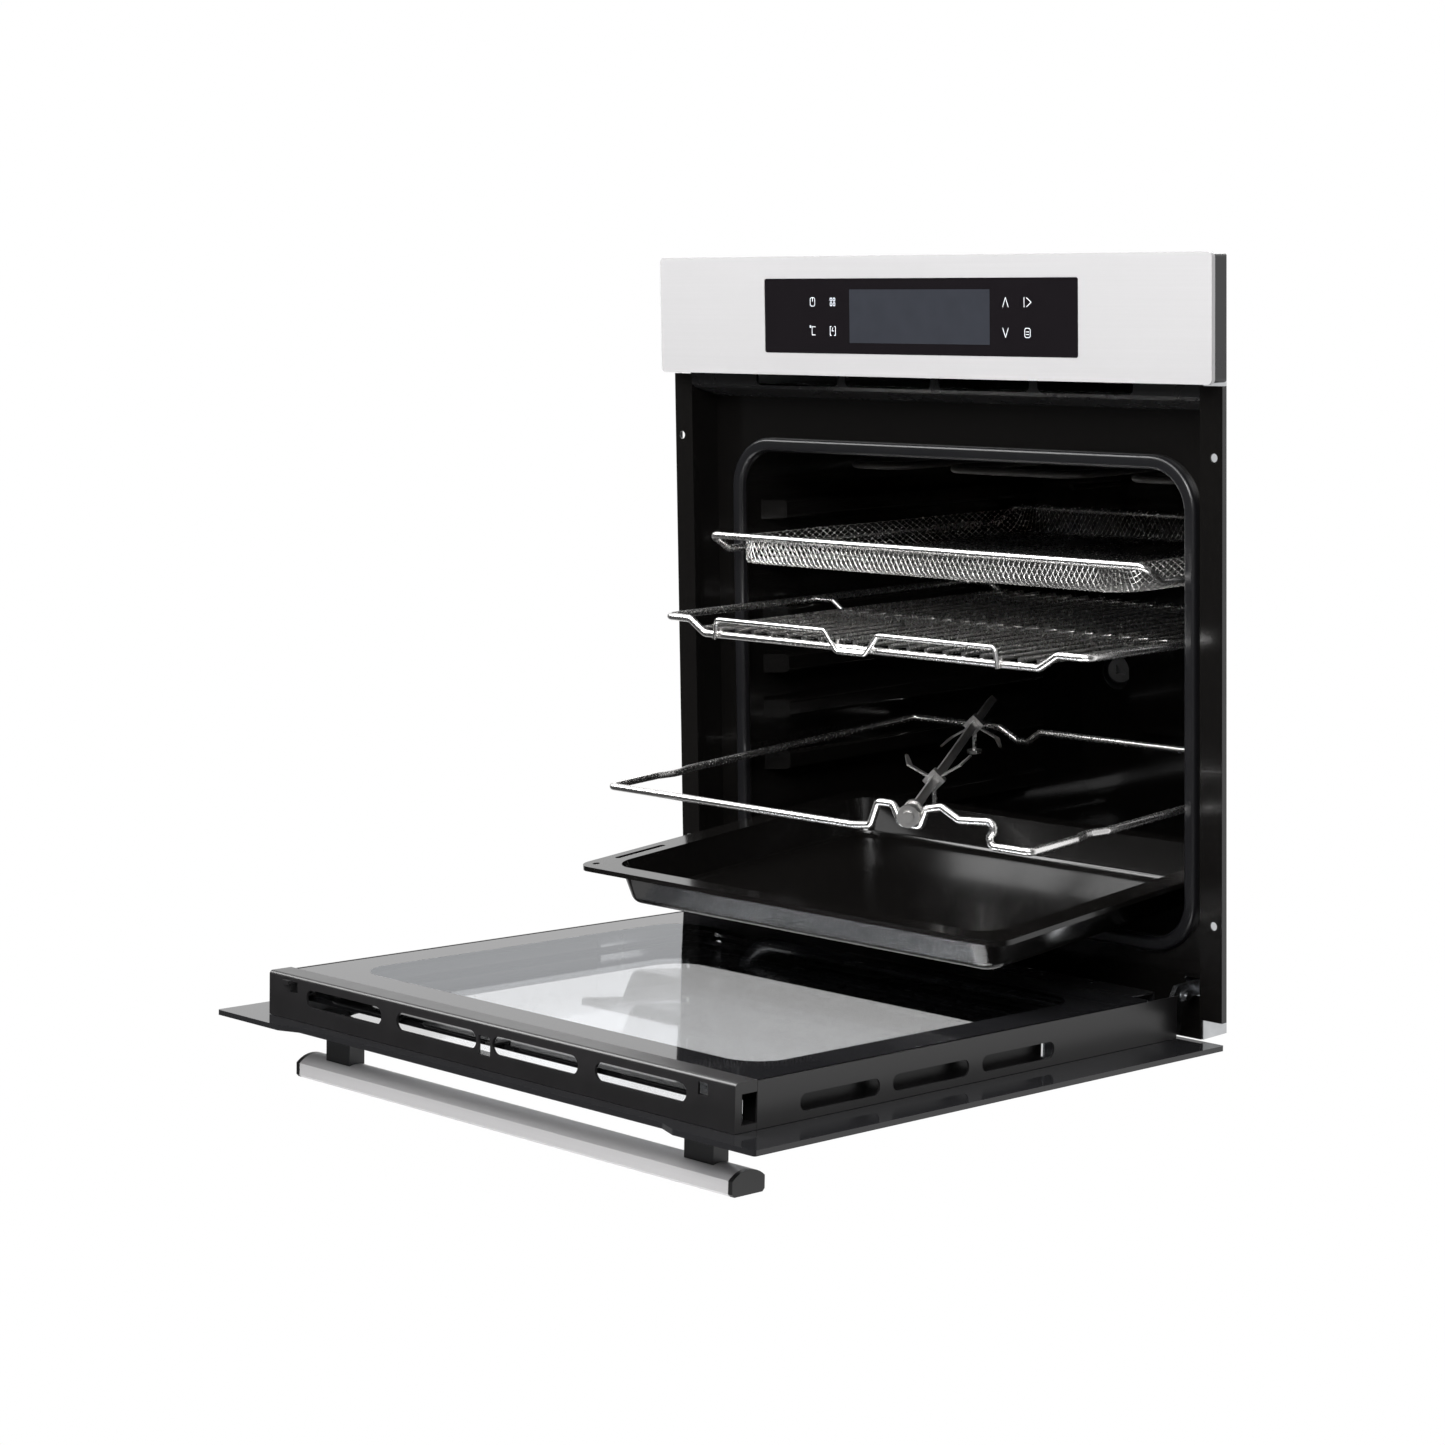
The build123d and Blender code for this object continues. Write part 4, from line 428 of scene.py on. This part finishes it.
@dataclass(frozen=True)
class Lamp:
    """One soft rectangular light.

    Args:
        name: Its name.
        spot: Where it stands, in metres in the model's frame.
        width: Width of the light.
        height: Height of the light.
        watts: Its power.
    """

    name: str
    spot: tuple[float, float, float]
    width: float
    height: float
    watts: float


LAMPS = (
    Lamp("sky", (-0.6, -1.2, 2.4), 2.6, 1.8, 110.0),
    Lamp("front", (1.5, -2.8, 1.9), 1.8, 1.2, 120.0),
    Lamp("left", (-2.4, -1.5, 2.2), 2.0, 2.0, 110.0),
    Lamp("behind", (-1.2, 3.0, 1.6), 2.4, 1.6, 60.0),
    Lamp("below", (0.2, -1.2, -1.6), 2.4, 1.6, 60.0),
)


@dataclass
class Studio:
    """White set: a far backdrop that only the camera sees, a screen at its right, and soft lights."""

    view: Viewpoint = field(default_factory=Viewpoint)
    backdrop_radius: float = 14.0
    screen_edge: float = 0.84886
    screen_distance: float = 0.7
    screen_past: float = 0.3
    sky_from: float = -0.1
    sky_to: float = 0.5
    sky_dim: float = 0.05
    sky_bright: float = 1.3

    def white(self) -> bpy.types.Material:
        """Plain white light for the set pieces."""
        material = bpy.data.materials.new("white set")
        graph = Graph(material)
        glow = graph.node("ShaderNodeEmission", {}, {"Color": (1.0, 1.0, 1.0, 1.0), "Strength": 1.0})
        graph.feed(graph.output.inputs["Surface"], glow.outputs[0])
        return material

    def object_from(self, name: str, shape: bmesh.types.BMesh) -> bpy.types.Object:
        """Turn a bmesh into an object of the set."""
        mesh = bpy.data.meshes.new(name)
        shape.to_mesh(mesh)
        shape.free()
        mesh.materials.append(self.white_material)
        piece = bpy.data.objects.new(name, mesh)
        bpy.context.scene.collection.objects.link(piece)
        camera_only(piece)
        return piece

    def light(self, lamp: Lamp, aim: Vector) -> None:
        """Add one soft light.

        Args:
            lamp: Its place and size.
            aim: What it points at.
        """
        data = bpy.data.lights.new(lamp.name, "AREA")
        data.shape = "RECTANGLE"
        data.size, data.size_y = lamp.width, lamp.height
        data.energy = lamp.watts
        light = bpy.data.objects.new(lamp.name, data)
        bpy.context.scene.collection.objects.link(light)
        spot = Vector(lamp.spot)
        light.location = spot
        light.rotation_euler = (aim - spot).to_track_quat("-Z", "Y").to_euler()
        light.visible_camera = False

    def make(self) -> None:
        """Build the camera, the set, the lights and the world."""
        self.view.make()
        self.white_material = self.white()
        dome = bmesh.new()
        bmesh.ops.create_icosphere(dome, subdivisions=4, radius=self.backdrop_radius)
        bmesh.ops.reverse_faces(dome, faces=dome.faces)
        self.object_from("backdrop", dome)
        screen = bmesh.new()
        low, high = -self.screen_past, 1.0 + self.screen_past
        corners = [(self.screen_edge, low), (high, low), (high, high), (self.screen_edge, high)]
        points = [screen.verts.new(self.view.point(a, b, self.screen_distance)) for a, b in corners]
        screen.faces.new(points)
        self.object_from("screen", screen)
        middle = place(0.0, 100.0, 300.0)
        for lamp in LAMPS:
            self.light(lamp, middle)
        self.world()

    def world(self) -> None:
        """Sky that is bright behind the oven and dim in front of it."""
        world = bpy.data.worlds.new("studio")
        bpy.context.scene.world = world
        world.use_nodes = True
        tree = world.node_tree
        tree.nodes.clear()
        coords = tree.nodes.new("ShaderNodeTexCoord")
        split = tree.nodes.new("ShaderNodeSeparateXYZ")
        tree.links.new(coords.outputs["Generated"], split.inputs[0])
        ramp = tree.nodes.new("ShaderNodeMapRange")
        ramp.inputs["From Min"].default_value = self.sky_from
        ramp.inputs["From Max"].default_value = self.sky_to
        ramp.inputs["To Min"].default_value = self.sky_dim
        ramp.inputs["To Max"].default_value = self.sky_bright
        tree.links.new(split.outputs["Y"], ramp.inputs["Value"])
        glow = tree.nodes.new("ShaderNodeBackground")
        tree.links.new(ramp.outputs[0], glow.inputs["Strength"])
        output = tree.nodes.new("ShaderNodeOutputWorld")
        tree.links.new(glow.outputs[0], output.inputs["Surface"])


# ---------------------------------------------------------------- new pieces
class Maker:
    """Shared ways of turning a bmesh into a finished piece on a body."""

    def __init__(self, palette: Palette) -> None:
        """Keep the finishes."""
        self.palette = palette

    def piece(self, name: str, shape: bmesh.types.BMesh, body: str, slot: str,
              material: bpy.types.Material | None = None) -> bpy.types.Object:
        """Make an object of a bmesh.

        Args:
            name: The piece's name.
            shape: Its mesh, in the model's frame.
            body: The body that it rides on.
            slot: The record's material slot.
            material: A finish of its own, or None for the slot's.

        Returns:
            The new object.
        """
        mesh = bpy.data.meshes.new(name)
        shape.to_mesh(mesh)
        shape.free()
        mesh.materials.append(material or self.palette.by_slot[slot])
        made = bpy.data.objects.new(name, mesh)
        bpy.context.scene.collection.objects.link(made)
        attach(made, body)
        LOG.info("made %s with %d faces", name, len(mesh.polygons))
        return made


@dataclass
class MeshBasket(Maker):
    """Expanded-metal basket: a floor and rounded walls of diamond mesh under a rolled edge."""

    palette: Palette
    half_width: float = 212.0
    front: float = 1.3
    back: float = 381.7
    top: float = 362.0
    depth: float = 24.4
    corner: float = 24.0
    cell: float = 5.4
    strand: float = 0.8
    row_share: float = 0.62
    floor_lift: float = 1.4
    under_edge: float = 2.0
    weld: float = 0.0002

    def overflow(self, x: float, y: float) -> tuple[float, Vector]:
        """How far a point of the flat sheet lies outside the floor, and the nearest point of its edge.

        Args:
            x: Across, from the middle.
            y: Along, from the middle.

        Returns:
            The distance, and the point itself or its foot on the edge.
        """
        half_x, half_y = self.half_width - self.corner, (self.back - self.front) / 2 - self.corner
        core = Vector((max(-half_x, min(half_x, x)), max(-half_y, min(half_y, y)), 0.0))
        away = Vector((x, y, 0.0)) - core
        if away.length <= self.corner:
            return 0.0, Vector((x, y, 0.0))
        return away.length - self.corner, core + away.normalized() * self.corner

    def build(self) -> None:
        """Make the mesh, and hide the plain basket."""
        middle = (self.front + self.back) / 2
        reach_x, reach_y = self.half_width + self.depth, (self.back - self.front) / 2 + self.depth
        shape = bmesh.new()
        bmesh.ops.create_grid(shape, x_segments=round(2 * reach_x / self.cell), y_segments=round(
            2 * reach_y / self.cell * self.row_share), size=1.0)
        bmesh.ops.scale(shape, vec=(reach_x, reach_y, 1.0), verts=shape.verts)
        old = list(shape.edges)
        bmesh.ops.poke(shape, faces=shape.faces)
        bmesh.ops.dissolve_edges(shape, edges=[e for e in old if e.is_valid and len(e.link_faces) == 2])
        gone = []
        for vert in shape.verts:
            rise, foot = self.overflow(vert.co.x, vert.co.y)
            if rise > self.depth + self.cell:
                gone.append(vert)
            height = self.floor_lift + min(rise, self.depth - self.under_edge)
            vert.co = place(foot.x, foot.y + middle, self.top - self.depth + height)
        bmesh.ops.delete(shape, geom=gone, context="VERTS")
        bmesh.ops.remove_doubles(shape, verts=shape.verts, dist=self.weld)
        basket = self.piece("basket_diamond_mesh", shape, "basket", "chrome_wire")
        wires = basket.modifiers.new("strands", "WIREFRAME")
        wires.thickness = self.strand * MM
        wires.use_even_offset = False
        wires.use_boundary = True
        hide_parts("basket_mesh")


@dataclass
class ControlFace(Maker):
    """What shows behind the display glass: the dark screen and eight white printed touch symbols, given a
    painted glow.
    """

    palette: Palette
    face: float = 0.16
    stroke: float = 0.4
    middle: float = 546.5
    print_thickness: float = 0.00006
    screen_width: float = 0.152
    screen_height: float = 0.043
    screen_thickness: float = 0.00004

    def line(self, shape: bmesh.types.BMesh, start: tuple[float, float], end: tuple[float, float]) -> None:
        """Add one stroke between two points across and up the glass."""
        run = Vector((end[0] - start[0], 0.0, end[1] - start[1]))
        bar = bmesh.ops.create_cube(shape, size=1.0)["verts"]
        turn = Matrix.Rotation(-math.atan2(run.z, run.x), 4, "Y")
        centre = place((start[0] + end[0]) / 2, self.face, (start[1] + end[1]) / 2)
        length = (run.length + self.stroke) * MM
        size = Matrix.Diagonal((length, self.print_thickness, self.stroke * MM, 1.0))
        bmesh.ops.transform(shape, matrix=Matrix.Translation(centre) @ turn @ size, verts=bar)

    def path(self, shape: bmesh.types.BMesh, at: tuple[float, float],
             points: list[tuple[float, float]]) -> None:
        """Add strokes through points given from a symbol's centre."""
        for a, b in zip(points, points[1:]):
            self.line(shape, (at[0] + a[0], at[1] + a[1]), (at[0] + b[0], at[1] + b[1]))

    def ring(self, shape: bmesh.types.BMesh, at: tuple[float, float], half: float, tall: float) -> None:
        """Add a small rounded frame."""
        cut = half * 0.4
        self.path(shape, at, [
            (-half + cut, tall), (half - cut, tall), (half, tall - cut), (half, cut - tall),
            (half - cut, -tall), (cut - half, -tall), (-half, cut - tall), (-half, tall - cut),
            (-half + cut, tall)])

    def build(self) -> None:
        """Make the screen and the symbols."""
        # The symbols are printed, not lit: their material's emission is a painted glow that makes them
        # brighter than the lamps alone would.
        glow = bpy.data.materials.new("white print with painted glow")
        graph = Graph(glow)
        shader = graph.node("ShaderNodeBsdfPrincipled", {}, {
            "Base Color": (0.8, 0.82, 0.85, 1.0), "Roughness": 0.3, "Emission Color": (0.85, 0.9, 1.0, 1.0),
            "Emission Strength": 0.5})
        graph.feed(graph.output.inputs["Surface"], shader.outputs[0])
        up, down = self.middle + 11.5, self.middle - 12.0
        shape = bmesh.new()
        self.ring(shape, (-114.0, up), 2.6, 3.4)
        self.path(shape, (-114.0, up), [(0.0, 3.2), (0.0, 0.5)])
        for dx in (-1.7, 1.7):
            for dz in (-1.9, 1.9):
                self.ring(shape, (-91.0 + dx, up + dz), 1.0, 1.2)
        self.ring(shape, (-116.6, down + 3.4), 0.6, 0.6)
        self.path(shape, (-113.4, down), [(2.4, 3.2), (-1.4, 3.2), (-1.4, -3.4), (2.4, -3.4)])
        self.path(shape, (-91.0, down), [(-1.6, 3.6), (-3.0, 3.6), (-3.0, -3.6), (-1.6, -3.6)])
        self.path(shape, (-91.0, down), [(1.6, 3.6), (3.0, 3.6), (3.0, -3.6), (1.6, -3.6)])
        self.path(shape, (-91.0, down), [(0.0, 2.6), (-1.0, 0.0), (1.2, 0.0)])
        self.path(shape, (96.5, up), [(-2.9, -3.6), (0.0, 3.6), (2.9, -3.6)])
        self.path(shape, (96.5, down), [(-2.9, 3.6), (0.0, -3.6), (2.9, 3.6)])
        self.path(shape, (119.0, up), [(-3.4, 3.6), (-3.4, -3.6)])
        self.path(shape, (120.0, up), [(-1.8, 3.4), (2.8, 0.0), (-1.8, -3.4)])
        self.ring(shape, (119.0, down), 2.8, 3.6)
        self.path(shape, (119.0, down), [(-1.4, 0.8), (1.4, 0.8)])
        self.path(shape, (119.0, down), [(-1.4, -1.2), (1.4, -1.2)])
        self.piece("touch_symbols", shape, "oven_body", "display_glass", glow)
        screen = Finish("unlit screen", "display_glass", (0.024, 0.026, 0.032), 0.16, 0.0, Grain.PLAIN, 0.15,
                        0.02).make()
        panel = bmesh.new()
        verts = bmesh.ops.create_cube(panel, size=1.0)["verts"]
        matrix = Matrix.Translation(place(4.0, self.face + 0.02, self.middle)) @ Matrix.Diagonal(
            (self.screen_width, self.screen_thickness, self.screen_height, 1.0))
        bmesh.ops.transform(panel, matrix=matrix, verts=verts)
        self.piece("screen_panel", panel, "oven_body", "display_glass", screen)


@dataclass
class SmoothWires(Maker):
    """Smoothly shaded copies of the round wires and rods, which would else show their facets."""

    palette: Palette
    sharp_degrees: float = 40.0
    weld: float = 0.00001
    wires: tuple[tuple[str, str, str], ...] = (
        ("wire_rack", "rack", "chrome_wire"),
        ("rotisserie_frame", "rotisserie", "chrome_wire"),
        ("basket_rim", "basket", "chrome_wire"),
        ("handle_bar", "door", "brushed_steel"),
        ("cavity_gasket", "oven_body", "gasket_silicone"),
        ("baking_tray", "tray", "black_enamel"),
    )

    def build(self, nodes: dict[str, bpy.types.Object]) -> None:
        """Merge, smooth and swap in each wire."""
        limit = math.radians(self.sharp_degrees)
        for node, body, slot in self.wires:
            shape = bmesh.new()
            shape.from_mesh(nodes[node].data)
            bmesh.ops.transform(shape, matrix=nodes[node].matrix_world, verts=shape.verts)
            bmesh.ops.remove_doubles(shape, verts=shape.verts, dist=self.weld)
            for face in shape.faces:
                face.smooth = True
            for edge in shape.edges:
                edge.smooth = len(edge.link_faces) == 2 and edge.calc_face_angle(math.pi) < limit
            smooth = self.piece(f"{node}_smooth", shape, body, slot)
            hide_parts(node)


def settings() -> None:
    """Set the colour handling and the light's bounces."""
    scene = bpy.context.scene
    scene.view_settings.view_transform = "Standard"
    scene.cycles.max_bounces = 10
    scene.cycles.transparent_max_bounces = 16


def main() -> None:
    """Build the whole picture."""
    logging.basicConfig(level=logging.INFO)
    Studio().make()
    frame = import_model()
    nodes = frame["nodes"]
    palette = Palette()
    palette.dress(nodes, frame["record"])
    SmoothWires(palette).build(nodes)
    MeshBasket(palette).build()
    ControlFace(palette).build()
    settings()


if __name__ == "__main__":
    main()
